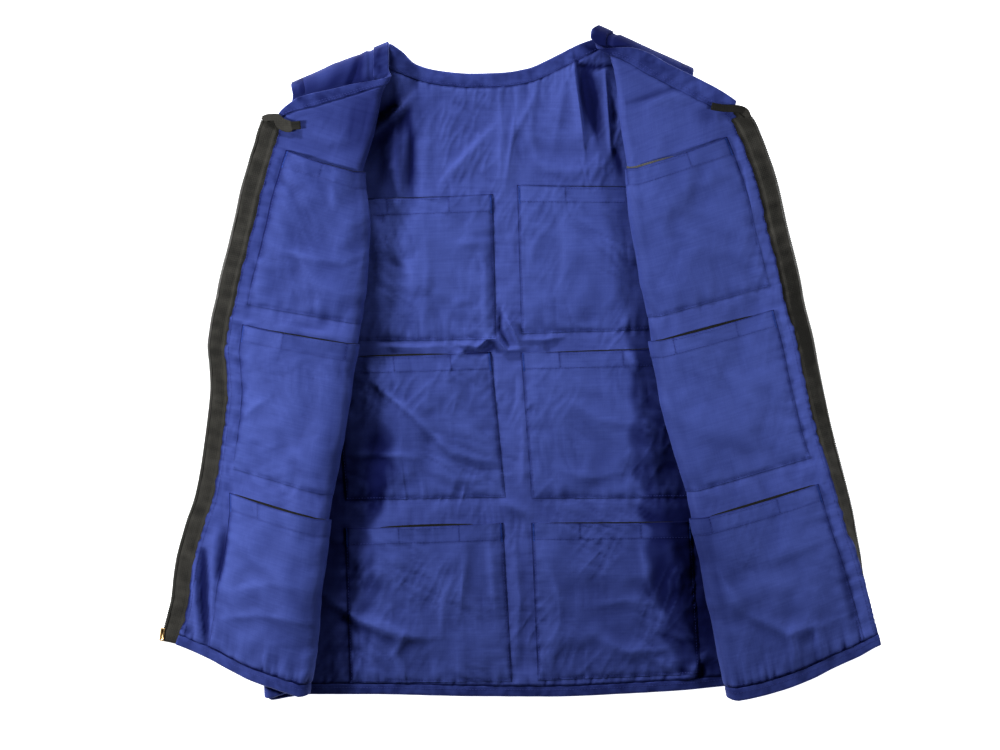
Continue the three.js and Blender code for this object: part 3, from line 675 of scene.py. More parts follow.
backFolds = [
    (((497, 122), (471, 150), (440, 184)), 9, 2.4, 0.35),
    (((499, 92), (502, 130), (500, 182)), 9, 1.8, 0.2),
    (((413, 106), (405, 150), (399, 196)), 12, 2.6, -0.3),
    (((408, 102), (385, 122)), 7, 2.0, 0.2),
    (((536, 96), (529, 128), (536, 160)), 8, 1.5, -0.3),
    (((566, 66), (562, 100), (553, 150)), 9, 1.6, -0.3),
    (((456, 344), (478, 347), (487, 339), (497, 340), (506, 350), (521, 350)), 3.2, 3.6, 0.3),
    (((466, 352), (482, 354), (494, 347), (500, 352)), 2.8, -2.4, 0.0),
    (((505, 316), (513, 330), (520, 346)), 3.4, 3.4, 0.3),
    (((500, 308), (500, 330), (508, 346)), 3.0, -2.2, 0.0),
    (((524, 340), (545, 340), (562, 337)), 3.2, 2.0, 0.3),
    (((448, 345), (420, 347), (380, 346)), 4.0, 1.6, 0.3),
    (((366, 362), (372, 380), (385, 392), (415, 417), (451, 453), (489, 463)), 5, 1.9, 0.4),
    (((352, 455), (385, 455), (419, 457)), 6, 1.5, 0.3),
    (((329, 600), (359, 621), (400, 637), (428, 639)), 8, 3.2, 0.45),
    (((375, 618), (404, 634), (394, 655), (408, 684)), 8, 2.0, -0.3),
    (((443, 590), (440, 640)), 7, 1.6, 0.3),
    (((466, 552), (459, 616)), 8, 1.8, -0.3),
    (((489, 545), (494, 612)), 7, 1.8, 0.3),
    (((457, 244), (492, 242)), 5, 1.2, 0.3),
    (((455, 302), (472, 301)), 5, 1.2, 0.3),
    (((484, 246), (486, 332)), 5, 1.8, 0.2),
    (((627, 352), (635, 371)), 5, 2.2, 0.4),
    (((536, 236), (529, 268)), 6, 1.3, 0.3),
    (((592, 606), (626, 600), (652, 604)), 9, 1.3, 0.2),
    (((520, 380), (524, 440), (522, 492)), 7, 1.4, 0.2),
    (((514, 540), (520, 600), (516, 660)), 7, 1.6, -0.3),
    (((500, 500), (517, 510), (531, 515)), 7, 1.6, 0.3),
    (((537, 90), (526, 112), (513, 137)), 6, 1.6, -0.3),
    (((517, 97), (512, 140), (505, 187)), 5, 1.5, 0.3),
    (((455, 96), (470, 106), (488, 110)), 12, -1.4, 0.0),
    (((432, 104), (428, 140), (424, 180)), 9, 1.4, -0.4),
    (((540, 165), (565, 172), (596, 168)), 8, 1.3, 0.3),
    (((425, 230), (428, 270), (424, 320)), 10, 1.2, -0.4),
    (((398, 250), (420, 285), (448, 300)), 8, 1.2, 0.3),
    (((560, 215), (566, 250), (560, 300)), 10, 1.1, 0.4),
    (((398, 372), (404, 420), (398, 470)), 11, 0.5, -0.4),
    (((430, 470), (455, 480), (486, 478)), 7, 1.1, 0.3),
    (((570, 400), (600, 420), (640, 424)), 10, 1.2, 0.3),
    (((562, 470), (590, 478), (628, 470)), 8, 1.1, 0.3),
    (((545, 560), (560, 600), (556, 650)), 9, 1.2, -0.4),
    (((600, 640), (630, 652), (664, 650)), 9, 1.4, 0.3),
    (((640, 545), (650, 590), (664, 620)), 9, 1.5, 0.4),
]
neckFolds = [
    (((574, 60), (578, 95), (584, 142)), 7, 10.0, -0.6),
    (((588, 66), (590, 100), (599, 142)), 8, -5.0, 0.0),
    (((584, 68), (587, 90), (594, 114)), 8, -4.0, 0.0),
    (((605, 68), (607, 100), (611, 152)), 3.8, 5.0, 0.1),
    (((613, 98), (614, 110), (615, 124)), 3.5, -2.4, 0.0),
    (((578, 65), (596, 67), (614, 65)), 2.6, -5.0, 0.0),
    (((615, 146), (618, 162), (620, 178)), 6, -4.0, 0.0),
    (((370, 134), (393, 115), (414, 94)), 5.5, 7.5, 0.0),
    (((395, 118), (397, 160), (400, 198)), 8, 4.2, -0.55),
    (((409, 112), (411, 150), (412, 192)), 6, -3.6, 0.0),
    (((374, 202), (378, 214), (384, 224)), 4, -3.6, 0.0),
    (((676, 690), (692, 676), (706, 652)), 5, 5.0, 0.2),
]
strapFolds = {
    "left": [(((361, 54), (356, 74), (349, 90)), 7, -2.6, 0.3), (((336, 64), (329, 88)), 8, 1.4, 0.0)],
    "right": [(((655, 62), (660, 80)), 8, -1.2, 0.0)],
}
frontFolds = {
    "left": [
        (((277, 246), (300, 255), (327, 262)), 9, 2.0, 0.35),
        (((322, 258), (345, 262), (362, 252)), 8, 1.5, 0.3),
        (((336, 171), (333, 215)), 8, 1.3, 0.3),
        (((313, 132), (330, 142), (352, 140)), 10, 1.8, 0.3),
        (((352, 100), (345, 130), (338, 150)), 10, 1.6, -0.3),
        (((244, 417), (256, 407), (270, 398)), 7, 1.6, 0.3),
        (((203, 552), (203.5, 600), (206, 640)), 4.4, -5.6, 0.0),
        (((193, 552), (195, 600), (198, 634)), 5, 3.4, 0.2),
        (((214, 540), (213, 590), (213, 642)), 5, 2.4, 0.0),
        (((225, 532), (222, 555), (218, 578)), 4, -3.2, 0.0),
        (((188, 628), (184, 640)), 3, -2.0, 0.0),
        (((222, 619), (262, 614), (313, 623)), 6, 1.5, 0.35),
        (((240, 590), (275, 583), (318, 590)), 8, 0.8, 0.3),
        (((266, 668), (268, 650)), 5, 1.6, 0.0),
        (((284, 676), (287, 655)), 5, 1.6, 0.0),
        (((229, 318), (246, 324), (258, 322)), 5, 1.8, 0.3),
        (((284, 326), (310, 332), (350, 338)), 6, 1.8, -0.3),
    ],
    "right": [
        (((621, 106), (650, 98), (684, 86)), 6, -2.0, 0.4),
        (((640, 104), (668, 97), (692, 92)), 9, 1.6, 0.3),
        (((666, 200), (690, 184), (716, 180)), 14, 1.2, 0.3),
        (((745, 170), (752, 215), (760, 250)), 6, 1.5, 0.3),
        (((776, 255), (784, 262), (776, 268)), 5, 1.8, 0.3),
        (((712, 560), (728, 590), (742, 614)), 12, 1.8, -0.3),
        (((744, 612), (786, 634), (826, 623)), 9, 2.4, 0.4),
        (((787, 628), (790, 645), (793, 662)), 4.5, 2.8, 0.3),
        (((813, 622), (816, 638), (819, 654)), 4.5, 2.4, 0.3),
        (((838, 560), (848, 600), (856, 632)), 8, -1.6, 0.3),
        (((760, 560), (790, 552), (822, 540)), 12, 1.0, 0.3),
    ],
}
# hollow is the strength of the painted shade in the hollows, less on the ridges; even is a darkening laid
# evenly over the cloth; darkest is the most shade
pad = {"seam": 0.9, "seamWidth": 3.4, "broad": 1.1, "small": 0.5, "pucker": 1.3, "crumple": 0.45,
       "folds": 2.1, "crease": 1.0, "hollow": 0.22, "even": 0.08, "hemPinch": 4.0, "zipPinch": 1.8,
       "neckPinch": 2.6, "pinchSeed": 7, "fill": 0.25, "darkest": 0.9}
gatherSize = {"hem": 16, "neck": 13, "zip": 11}  # from one pinch of a gathered seam to the next
creaseRuns = ((8, (12, 52)), (-28, (10, 44)), (64, (11, 48)))  # turn in degrees, width and length


def pinch(x, y, size, seed):  # narrow valleys where a gathered seam pulls the cloth in, more here than there
    valley = np.exp(-((softNoise(x, y, size, seed) / 0.16) ** 2))
    return valley * (0.25 + 0.75 * ease(0.5 + 1.3 * softNoise(x, y, 3.2 * size, seed + 60)))


def creases(x, y, seed):  # patches of soft, narrow ridges that lie this way and that
    total = 0.0
    for number, (turn, size) in enumerate(creaseRuns):
        c, d = math.cos(math.radians(turn)), math.sin(math.radians(turn))
        u, v = c * x + d * y, c * y - d * x
        ridge = np.exp(-((softNoise(u, v, size, seed + number) / 0.2) ** 2))
        where = ease(softNoise(x, y, 68, seed + 10 + number) / 0.7 + 0.25)
        total = total + ridge * where * (1 if number % 2 else -0.8)
    return total


def sewnDown(lift, x, y, upright, level, seeds):  # seams press the lining down and pucker it beside them
    groove = np.exp(-((np.minimum(upright, level) / pad["seamWidth"]) ** 2))
    lift = lift - pad["seam"] * groove * (0.6 + 0.6 * softNoise(x, y, 28, seeds[0]))
    lift = lift + pad["pucker"] * softNoise(x, y, (34, 8), seeds[1]) * np.exp(-upright / 9)
    return lift + pad["pucker"] * softNoise(x, y, (8, 34), seeds[2]) * np.exp(-level / 9)


def gathered(depth, along, gap, size, reach):  # beside a gathered band the cloth swells between the pinches
    swell = depth * (0.6 - pinch(along, along * 0, size, pad["pinchSeed"])) * np.exp(-gap / reach)
    return swell * (1 - np.exp(-((gap / 2) ** 2)))


# the back, a height field over the floor

backSides = tableCurves(("along", "leftX", "rightX", "band"), [
    (-351, -267.7, 235.7, 0), (54, -267.7, 235.7, 0), (62, -267, 235, 12.3), (140, -258, 223.5, 12.3),
    (196, -250, 206, 12.3), (240, -243, 192, 12.3), (283, -237, 182, 12.3), (300, -237, 180, 12.3),
])
neckOuter = [(-136, 337), (-124, 329), (-110, 316), (-86.6, 309), (-51, 305.6), (-18.4, 306.6), (8, 310.8),
             (37.3, 323.5), (62, 336), (81.4, 343)]
neckInner = [(-153, 319.3), (-136, 311.5), (-118, 304), (-91, 296.5), (-52, 292.5), (-17, 293.5), (12, 298.3),
             (43.5, 312.2), (70.5, 325.5), (96, 336.4)]
shoulders = {"left": ((-237, 283), (-153, 319.3)), "right": ((180, 298), (96, 336.4))}
backPockets = {  # mouth left and right, bottom left and right
    "back_left_pocket_1": ((-194, 174), (-28, 179.5), (-190, 25), (-24.5, 27)),
    "back_left_pocket_2": ((-196, 8.5), (-30, 13.5), (-183, -142.5), (-15, -139)),
    "back_left_pocket_3": ((-184, -171.5), (-17.5, -166), (-178.5, -334.5), (-8, -333)),
    "back_right_pocket_1": ((-2.5, 189), (166, 188), (2, 33), (170, 38)),
    "back_right_pocket_2": ((1.5, 13), (168, 18.5), (13, -140.5), (181, -139.5)),
    "back_right_pocket_3": ((12.5, -166), (181, -164.5), (19.5, -332), (190, -325)),
}
backLook = {
    "thick": 3.6, "least": 1.4, "floor": 0.25, "gap": 0.3, "leftEnd": -224.7, "rightEnd": 167.7,
    "hemFrom": -267.0, "hemSpan": 502.0,
    "columns": ((0, 0.36, 46), (0.36, 0.56, 58), (0.56, 0.70, 22), (0.70, 0.85, 58), (0.85, 1, 16)),
    "rows": ((0, 0.53, 108), (0.53, 0.64, 40), (0.64, 1, 80)),
}


def shoulderLine(side, x):
    (tipX, tipY), (neckX, neckY) = shoulders[side]
    return mix(tipY, neckY, (x - tipX) / (neckX - tipX))


def backTop():  # the back's upper edge along the shoulders and under the neck band
    gap = backLook["gap"]
    leftX = np.linspace(backLook["leftEnd"], neckInner[0][0] - gap, 4)
    rightX = np.linspace(neckInner[-1][0] + gap, backLook["rightEnd"], 4)
    left = [(x, shoulderLine("left", x)) for x in leftX]
    right = [(x, shoulderLine("right", x)) for x in rightX]
    return columnCurve(*zip(*(left + [(x, y - gap) for x, y in neckInner[1:-1]] + right)))


backTopCurve = backTop()
hemRows = ((0, -340), (0.012, -351.5), (0.05, -348.5), (0.1, -345.5), (0.22, -345.5), (0.43, -347.6),
           (0.6, -348), (0.75, -345), (0.88, -341), (0.94, -338), (1, -335))  # share across, lower edge
hemLine = columnCurve(*zip(*hemRows))
creaseLook = {  # height up the back, depth and width of the shade beside the crease
    "left": ((-340, 0.38, 54), (-310, 0.42, 56), (-268, 0.44, 58), (-215, 0.55, 54), (-163, 0.6, 52),
             (-121, 0.6, 60), (-68, 0.36, 52), (-16, 0.16, 28), (37, 0.06, 20), (320, 0, 20)),
    "right": ((-340, 0.6, 46), (-310, 0.62, 50), (-268, 0.66, 60), (-215, 0.7, 57), (-163, 0.76, 57),
              (-121, 0.66, 46), (-68, 0.68, 46), (-16, 0.6, 28), (79, 0.42, 22), (121, 0.4, 20),
              (215, 0.2, 14), (289, 0, 12), (320, 0, 12)),
}
creaseCurves = {side: tableCurves(("along", "depth", "wide"), rows) for side, rows in creaseLook.items()}


def creaseShade(x, y):  # the cloth beside a folded crease lies in its shade
    total = np.zeros(np.shape(x))
    for side, curves in creaseCurves.items():
        rows = np.array(frontRows[side][:10])  # up to the shoulder
        gap = fronts[side].inward * (x - columnCurve(rows[:, 2], rows[:, 1])(y))
        ragged = curves["wide"](y) * (1 + 0.22 * softNoise(y, y * 0, 30, 77))
        paler = 1.1 - 0.35 * np.clip(gap / ragged, 0, 1)
        total = total + curves["depth"](y) * paler * ease((1.1 * ragged - gap) / 10)
    return total


def backPlace(share, y):
    s = {name: curve(y) for name, curve in backSides.items()}
    return mix(s["leftX"] + s["band"], s["rightX"] - s["band"], share)


def pocketSeams(corners):
    mouthL, mouthR, bottomL, bottomR = corners
    return [mouthL, bottomL], [bottomL, bottomR], [bottomR, mouthR]


def pocketSize(corners):
    mouthL, _, bottomL, bottomR = corners
    return math.dist(bottomL, bottomR), math.dist(mouthL, bottomL)


def backLift(x, y):  # height of the lining above the floor
    lift = backLook["thick"] + pad["broad"] * softNoise(x, y, 75, 3) + pad["small"] * softNoise(x, y, 26, 4)
    upright, level = np.full(np.shape(x), 1e9), np.full(np.shape(x), 1e9)
    for corners in backPockets.values():
        left, bottom, right = (lineDistance(x, y, seam)[0] for seam in pocketSeams(corners))
        upright = np.minimum(upright, np.minimum(left, right))
        level = np.minimum(level, bottom)
    lift = sewnDown(lift, x, y, upright, level, (9, 5, 6))
    share = np.clip((x - backLook["hemFrom"]) / backLook["hemSpan"], 0, 1)
    aboveHem = np.maximum(y - hemLine(share) - body["hem"], 0)
    lift = lift + gathered(pad["hemPinch"], x, aboveHem, gatherSize["hem"], 10)
    underNeck = np.maximum(backTopCurve(x) - y, 0)
    lift = lift + gathered(pad["neckPinch"], x, underNeck, gatherSize["neck"], 8)
    lift = lift + pad["crumple"] * cuts["back"].at(x, y) + pad["crease"] * creases(x, y, 500)
    lift = lift + pad["folds"] * foldLift(x, y, backFolds) + foldLift(x, y, neckFolds)
    return np.maximum(lift, backLook["least"])


def backFloor(x, y):  # the underside follows only the tall folds
    return backLook["floor"] + np.maximum(foldLift(x, y, neckFolds) - 1.2, 0) * 0.7


def gridNormals(high):
    n = np.cross(np.gradient(high, axis=1), np.gradient(high, axis=0))
    n /= np.maximum(np.linalg.norm(n, axis=2, keepdims=True), 1e-9)
    return n


class Patch:  # a finished grid that stitches can be laid on
    def __init__(self, rows, cols, high):
        self.rows, self.cols, self.high = np.asarray(rows, float), np.asarray(cols, float), high
        self.normals = gridNormals(high)

    def at(self, row, col, above=0.0):
        row, col = np.broadcast_arrays(np.asarray(row, float), np.asarray(col, float))
        i = np.interp(row, self.rows, np.arange(len(self.rows)))
        j = np.interp(col, self.cols, np.arange(len(self.cols)))
        a, b = np.minimum(i.astype(int), len(self.rows) - 2), np.minimum(j.astype(int), len(self.cols) - 2)
        s, t = (i - a)[:, None], (j - b)[:, None]

        def read(grid):
            return mix(mix(grid[a, b], grid[a, b + 1], t), mix(grid[a + 1, b], grid[a + 1, b + 1], t), s)

        return read(self.high) + above * read(self.normals), read(self.normals)


gridLook = {"edge": (0, 0.7, 1.4, 2.1, 3.0, 4.3, 6.0), "beside": (-1.0, 0, 1.0), "least": 0.28}


def gridLines(length, step, marks=()):  # lines of a grid, closer at its ends and beside its marks
    edge = gridLook["edge"]
    middle = np.linspace(edge[-1], length - edge[-1], max(2, round((length - 2 * edge[-1]) / step) + 1))
    close = [m + off for m in marks for off in gridLook["beside"]]
    found = np.sort(np.concatenate([edge, middle, length - np.array(edge), close]))
    kept = [found[0]]
    for value in found[1:]:
        if value - kept[-1] > gridLook["least"]:
            kept.append(value)
    kept[-1] = length
    return np.array(kept)


# wrinkles, from a cloth simulation of the flat cuts

wrinkleLook = {"frames": 22, "growth": 0.02, "bend": 0.8, "stiff": 15.0, "shear": 5.0,
               "kick": 0.8, "kickSize": 17, "scale": 0.01, "cap": 4.0, "held": 3.0,
               "panelStep": 5.5, "pocketStep": 4.2, "apart": 60}
backCut = {"left": -268, "bottom": -346, "wide": 506, "tall": 692,
           "heldLeft": -262, "heldRight": 230, "heldHem": -338}
frontCut = {"left": -46, "wide": 250, "heldSide": -40, "heldTop": 20}


class Wrinkles:  # heights over one flat cut, read with a smooth curve between the points
    def __init__(self, origin, step, pinned):
        self.origin, self.step, self.pinned = origin, step, pinned
        self.height = np.zeros(pinned.shape)

    def at(self, x, y):
        rows, cols = self.height.shape
        u = np.clip((x - self.origin[0]) / self.step, 0, cols - 1.001)
        v = np.clip((y - self.origin[1]) / self.step, 0, rows - 1.001)
        i, j = np.floor(u).astype(int), np.floor(v).astype(int)

        def weights(t):
            before, here = (1 - t) ** 3 / 6, (3 * t**3 - 6 * t**2 + 4) / 6
            return before, here, (-3 * t**3 + 3 * t**2 + 3 * t + 1) / 6, t**3 / 6

        total = 0.0
        for b, down in zip((-1, 0, 1, 2), weights(v - j)):
            row = np.clip(j + b, 0, rows - 1)
            for a, level in zip((-1, 0, 1, 2), weights(u - i)):
                total = total + down * level * self.height[row, np.clip(i + a, 0, cols - 1)]
        return total


def flatCut(left, bottom, wide, tall, step, isPinned):
    cols, rows = int(wide / step) + 2, int(tall / step) + 2
    x, y = np.meshgrid(left + step * np.arange(cols), bottom + step * np.arange(rows))
    return Wrinkles((left, bottom), step, isPinned(x, y))


def cutPoints(cuts):  # points, faces and held points of all the cuts, laid side by side
    points, quads, held, first, offset = [], [], [], 0, 0.0
    for number, cut in enumerate(cuts.values()):
        rows, cols = cut.height.shape
        x, y = np.meshgrid(offset + cut.step * np.arange(cols), cut.step * np.arange(rows))
        kick = wrinkleLook["kick"] * softNoise(x, y, wrinkleLook["kickSize"], 700 + number) * ~cut.pinned
        points.append(np.stack([x, y, kick], -1).reshape(-1, 3))
        index = first + np.arange(rows * cols).reshape(rows, cols)
        quads.append(gridQuads(index))
        held += index[cut.pinned].tolist()
        first += rows * cols
        offset += cut.step * cols + wrinkleLook["apart"]
    return np.concatenate(points), np.concatenate(quads), held


def crumple(cuts):  # the cuts grow a little between their seams, and wrinkle
    scale, (points, quads, held) = wrinkleLook["scale"], cutPoints(cuts)
    mesh = bpy.data.meshes.new("flatCuts")
    mesh.from_pydata((points * scale).tolist(), [], quads.tolist())
    cloth = show("flatCuts", mesh)
    cloth.vertex_groups.new(name="seams").add(held, 1.0, "REPLACE")
    work = cloth.modifiers.new("crumple", "CLOTH")
    rules = work.settings
    rules.quality, rules.mass, rules.air_damping = 6, 0.2, 2.0
    rules.tension_stiffness = rules.compression_stiffness = wrinkleLook["stiff"]
    rules.shear_stiffness = wrinkleLook["shear"]
    rules.bending_stiffness, rules.bending_damping = wrinkleLook["bend"], 0.5
    rules.vertex_group_mass = "seams"
    rules.shrink_min = rules.shrink_max = -wrinkleLook["growth"]
    rules.effector_weights.gravity = 0.0
    work.collision_settings.use_collision = False
    work.point_cache.frame_start, work.point_cache.frame_end = 1, wrinkleLook["frames"]
    for step in range(1, wrinkleLook["frames"] + 1):
        bpy.context.scene.frame_set(step)
    ready = cloth.evaluated_get(bpy.context.evaluated_depsgraph_get())
    found = np.empty(len(points) * 3, np.float32)
    ready.data.vertices.foreach_get("co", found)
    heights = np.clip(found[2::3] / scale, -wrinkleLook["cap"], wrinkleLook["cap"])
    start = 0
    for cut in cuts.values():
        cut.height = heights[start:start + cut.height.size].reshape(cut.height.shape)
        start += cut.height.size
    bpy.data.objects.remove(cloth)
    bpy.data.meshes.remove(mesh)
    bpy.context.scene.frame_set(1)


def nearBackSeam(x, y):
    near = (x < backCut["heldLeft"]) | (x > backCut["heldRight"]) | (y < backCut["heldHem"])
    near |= y > backTopCurve(x) - wrinkleLook["held"]
    for corners in backPockets.values():
        for seam in pocketSeams(corners):
            near |= lineDistance(x, y, seam)[0] < wrinkleLook["held"]
    return near


def nearFrontSeam(front):
    reach = wrinkleLook["held"]

    def test(across, along):
        m = front.marks(along)
        near = (across > m["reach"] - reach) | (along < body["hem"] + reach)
        near |= (across < frontCut["heldSide"]) | (along > front.top - frontCut["heldTop"])
        for bottom, mouth in front.pockets:
            inside = (along > bottom - reach) & (along < mouth + reach)
            near |= inside & (np.abs(across - m["pocketZip"]) < reach)
            near |= (np.abs(along - bottom) < reach) & (across < m["pocketZip"] + reach)
        return near

    return test


def pocketCut(width, length):
    step = wrinkleLook["pocketStep"]
    return flatCut(0, 0, width, length, step, lambda x, y: (x < step) | (x > width - step) | (y < step))


def makeCuts():
    step = wrinkleLook["panelStep"]
    backBox = (backCut[key] for key in ("left", "bottom", "wide", "tall"))
    cuts = {"back": flatCut(*backBox, step, nearBackSeam)}
    for side, front in fronts.items():
        cuts[side] = flatCut(frontCut["left"], 0, frontCut["wide"], front.top, step, nearFrontSeam(front))
    for name, corners in backPockets.items():
        cuts[name] = pocketCut(*pocketSize(corners))
    for side, front in fronts.items():
        for k, (bottom, mouth) in enumerate(front.pockets):
            m = front.marks(np.linspace(bottom, mouth, 9))
            width = float((m["pocketZip"] - m["pocketSide"]).mean())
            cuts[f"front_{side}_pocket_{k + 1}"] = pocketCut(width, mouth - bottom)
    crumple(cuts)
    return cuts


cuts = makeCuts()
print("wrinkles simulated:", ", ".join(f"{name} {cut.height.std():.2f}" for name, cut in cuts.items()))

# the back panel and its bands

patches = {}  # finished bands, for their stitches
stitchLines = {"back": [], "left": [], "right": []}
tackLines = []
# shares across a folded band
bandLines = np.array([0, 0.04, 0.12, 0.25, 0.4, 0.55, 0.7, 0.82, 0.9, 0.96, 1.0])
bandLook = {"hemTop": 3.2, "neckTop": 3.4, "armholeTop": 3.5, "hemTone": 0.4, "neckTone": 0.32,
            "frontHemTone": 0.24, "frontTone": 0.2, "darkest": 0.8, "armholeFrom": {"left": 66, "right": 67}}


def seamShadow(along, gap, size):  # painted shadow along the seam line, and painted shade in the pinched cloth beside it
    near = np.maximum(gap, 0)
    line = (0.6 + 0.6 * softNoise(along, along * 0, size * 0.45, 31)) * np.exp(-((near / 1.6) ** 2))
    return np.clip(line, 0, 1) + 0.5 * pinch(along, along * 0, size, pad["pinchSeed"]) * np.exp(-near / 5)


def bandTone(x, y, depth):  # a folded band is a little darker, and not evenly
    tone = depth + 0.3 * softNoise(x, y, 13, 33) + 0.16 * softNoise(x, y, 5, 34)
    return np.clip(tone, 0, bandLook["darkest"])


def bandCrown(height):  # and fullest along its middle
    return height * np.sin(np.pi * np.clip(0.08 + 0.84 * bandLines, 0, 1)) ** 0.5


def spacedShares(stretches):  # even steps in each stretch, then the far end
    steps = [np.linspace(start, end, count, endpoint=False) for start, end, count in stretches]
    return np.append(np.concatenate(steps), 1.0)


def buildBackPanel():
    share, up = spacedShares(backLook["columns"]), spacedShares(backLook["rows"])
    topX = mix(backLook["leftEnd"], backLook["rightEnd"], share)
    y = mix(hemLine(share) + body["hem"] + body["hemGap"], backTopCurve(topX), up[:, None])
    x = backPlace(share[None, :], y)
    high = np.stack([x, y, backLift(x, y)], -1)
    low = np.stack([x, y, backFloor(x, y)], -1)
    hemGap, neckGap = y - hemLine(share) - body["hem"], backTopCurve(topX) - y
    # painted shade: along the seams, in the deep folds, beside the creases and in the hollows, less on the
    # ridges, over an even darkening
    shade = seamShadow(x, hemGap, gatherSize["hem"]) + seamShadow(x, neckGap, gatherSize["neck"])
    shade = shade + foldShade(x, y, backFolds + neckFolds) + creaseShade(x, y)
    shade = shade + pad["even"] + pad["hollow"] * hollow(high[..., 2], x, y)
    shade = np.clip(shade, 0, pad["darkest"])
    piece = clothShell("back_panel", high, low, np.stack([x, y], -1), blueCloth, shade)
    settle(piece, "back_panel")


def buildBackHem():
    across, wide = np.linspace(0, 1, 220), bandLines[:, None]
    y = hemLine(across) + body["hem"] * wide
    x = backPlace(across[None, :], y)
    crown = 0.7 * np.sin(np.pi * wide * 0.5) ** 0.5 * np.sin(np.pi * (0.5 + 0.5 * wide)) ** 0.35
    top = bandLook["hemTop"] + crown + 0.35 * softNoise(x, y, (14, 40), 21)
    high = np.stack([x, y, np.maximum(top, 1)], -1)
    low = np.stack([x, y, np.full(x.shape, backLook["floor"])], -1)
    tone = bandTone(x, y, bandLook["hemTone"])
    piece = clothShell("back_hem", high, low, np.stack([x, y], -1), bandCloth, tone)
    settle(piece, "back_hem")
    patches["back_hem"] = Patch(bandLines, across, high)


def buildNeckBand():
    count = 170
    inner, outer = throughPoints(neckInner, count), throughPoints(neckOuter, count)
    flat = mix(inner[None], outer[None], bandLines[:, None, None])
    x, y = flat[..., 0], flat[..., 1]
    rise = np.maximum(foldLift(x, y, neckFolds) * 0.8, 0)
    top = bandLook["neckTop"] + bandCrown(1.0)[:, None] + rise + 0.3 * softNoise(x, y, 16, 22)
    high, low = withHeight(flat, top), withHeight(flat, backLook["floor"] + rise * 0.8)
    piece = clothShell("back_neck_band", high, low, flat, bandCloth, bandTone(x, y, bandLook["neckTone"]))
    settle(piece, "back_neck_band")
    patches["back_neck_band"] = Patch(bandLines, np.linspace(0, len(neckOuter) - 1, count), high)


def buildBackArmhole(side, inward):
    name, count, edge = f"back_{side}_armhole_band", 110, backSides[side + "X"]
    tipX, tipY = shoulders[side][0]
    topY = shoulderLine(side, tipX + inward * body["armhole"])
    rowsY = np.linspace(bandLook["armholeFrom"][side], topY, count)
    outerY = rowsY - (rowsY[-1] - tipY) * np.linspace(0, 1, count)  # falls to the shoulder's tip
    innerX, outerX = edge(rowsY) + inward * (body["armhole"] - backLook["gap"]), edge(outerY)
    x = mix(innerX[:, None], outerX[:, None], bandLines)
    y = mix(rowsY[:, None], outerY[:, None], bandLines)
    flat = np.stack([x, y], -1)
    top = bandLook["armholeTop"] + bandCrown(0.9) + 0.3 * softNoise(x, y, 14, 23)
    high, low = withHeight(flat, top), withHeight(flat, np.full(x.shape, backLook["floor"]))
    piece = clothShell(name, high, low, flat, bandCloth)
    settle(piece, name)
    patches[name] = Patch(rowsY, bandLines, high)


buildBackPanel()
buildBackHem()
buildNeckBand()
for side, front in fronts.items():
    buildBackArmhole(side, front.inward)
print("back made")

# patch pockets and the tape behind their mouths

pocketLook = {"thick": 1.2, "step": 2.7, "backGape": 4.6, "frontGape": 5.0, "pillow": 1.0, "press": 0.34,
              "pucker": 0.9, "crumple": 0.3, "rightFront": 0.45, "stitchIn": 2.2, "stitchDeep": 0.35,
              "hemStitch": 17.0, "clear": 0.12}
threadRise = {"seam": 0.1, "tack": 0.2}  # how far a thread lies above the cloth
tackLook = {"start": 1, "end": 19, "swing": 0.8, "turns": 46}  # from the mouth down, to and fro
closureLook = {"deep": 17.5, "thick": 1.0, "under": 0.25, "dip": 0.35, "columns": 40,
               "dark": -0.6, "pale": 0.35}
tapeShow = {  # where the dark tape shows in a mouth: from, to, how far it stands out; where it runs past the stitched box, the dark strip is a painted shadow of the open mouth
    "back_left_pocket_1": (0.30, 0.70, 0.8),
    "back_left_pocket_2": (0.16, 0.74, 2.2),
    "back_left_pocket_3": (0.22, 0.82, 2.6),
    "back_right_pocket_1": (0.30, 0.70, 0.8),
    "back_right_pocket_2": (0.15, 0.85, 1.4),
    "back_right_pocket_3": (0.10, 0.90, 1.5),
    "front_left_pocket_1": (0.30, 0.75, 0.8),
    "front_left_pocket_2": (0.20, 0.84, 1.5),
    "front_left_pocket_3": (0.286, 0.955, 2.6),
    "front_right_pocket_1": (0.05, 0.62, 2.6),
    "front_right_pocket_2": (0.18, 0.86, 2.8),
    "front_right_pocket_3": (0.265, 0.985, 2.8),
}
closureBox = {  # stitched outline of the tape on the pocket: from, to
    "back_left_pocket_1": (0.33, 0.72),
    "back_left_pocket_2": (0.38, 0.74),
    "back_left_pocket_3": (0.34, 0.72),
    "back_right_pocket_1": (0.30, 0.68),
    "back_right_pocket_2": (0.24, 0.64),
    "back_right_pocket_3": (0.30, 0.68),
    "front_left_pocket_1": (0.34, 0.72),
    "front_left_pocket_2": (0.30, 0.70),
    "front_left_pocket_3": (0.16, 0.76),
    "front_right_pocket_1": (0.30, 0.70),
    "front_right_pocket_2": (0.30, 0.72),
    "front_right_pocket_3": (0.26, 0.70),
}


def gapeShare(across, upward):
    return (1 - np.abs(2 * np.clip(across, 0, 1) - 1) ** 4) * np.sin(np.pi / 2 * np.clip(upward, 0, 1)) ** 0.8


def pressedEdge(sides, below):  # distance from the sewn edges; the lower one is pressed flatter
    return np.minimum(sides, pocketLook["press"] * below)


def pocketPucker(noise, gap):  # strongest a little way in from a sewn edge
    return pocketLook["pucker"] * noise * np.exp(-gap / 12) * (1 - np.exp(-((gap / 3) ** 2)))


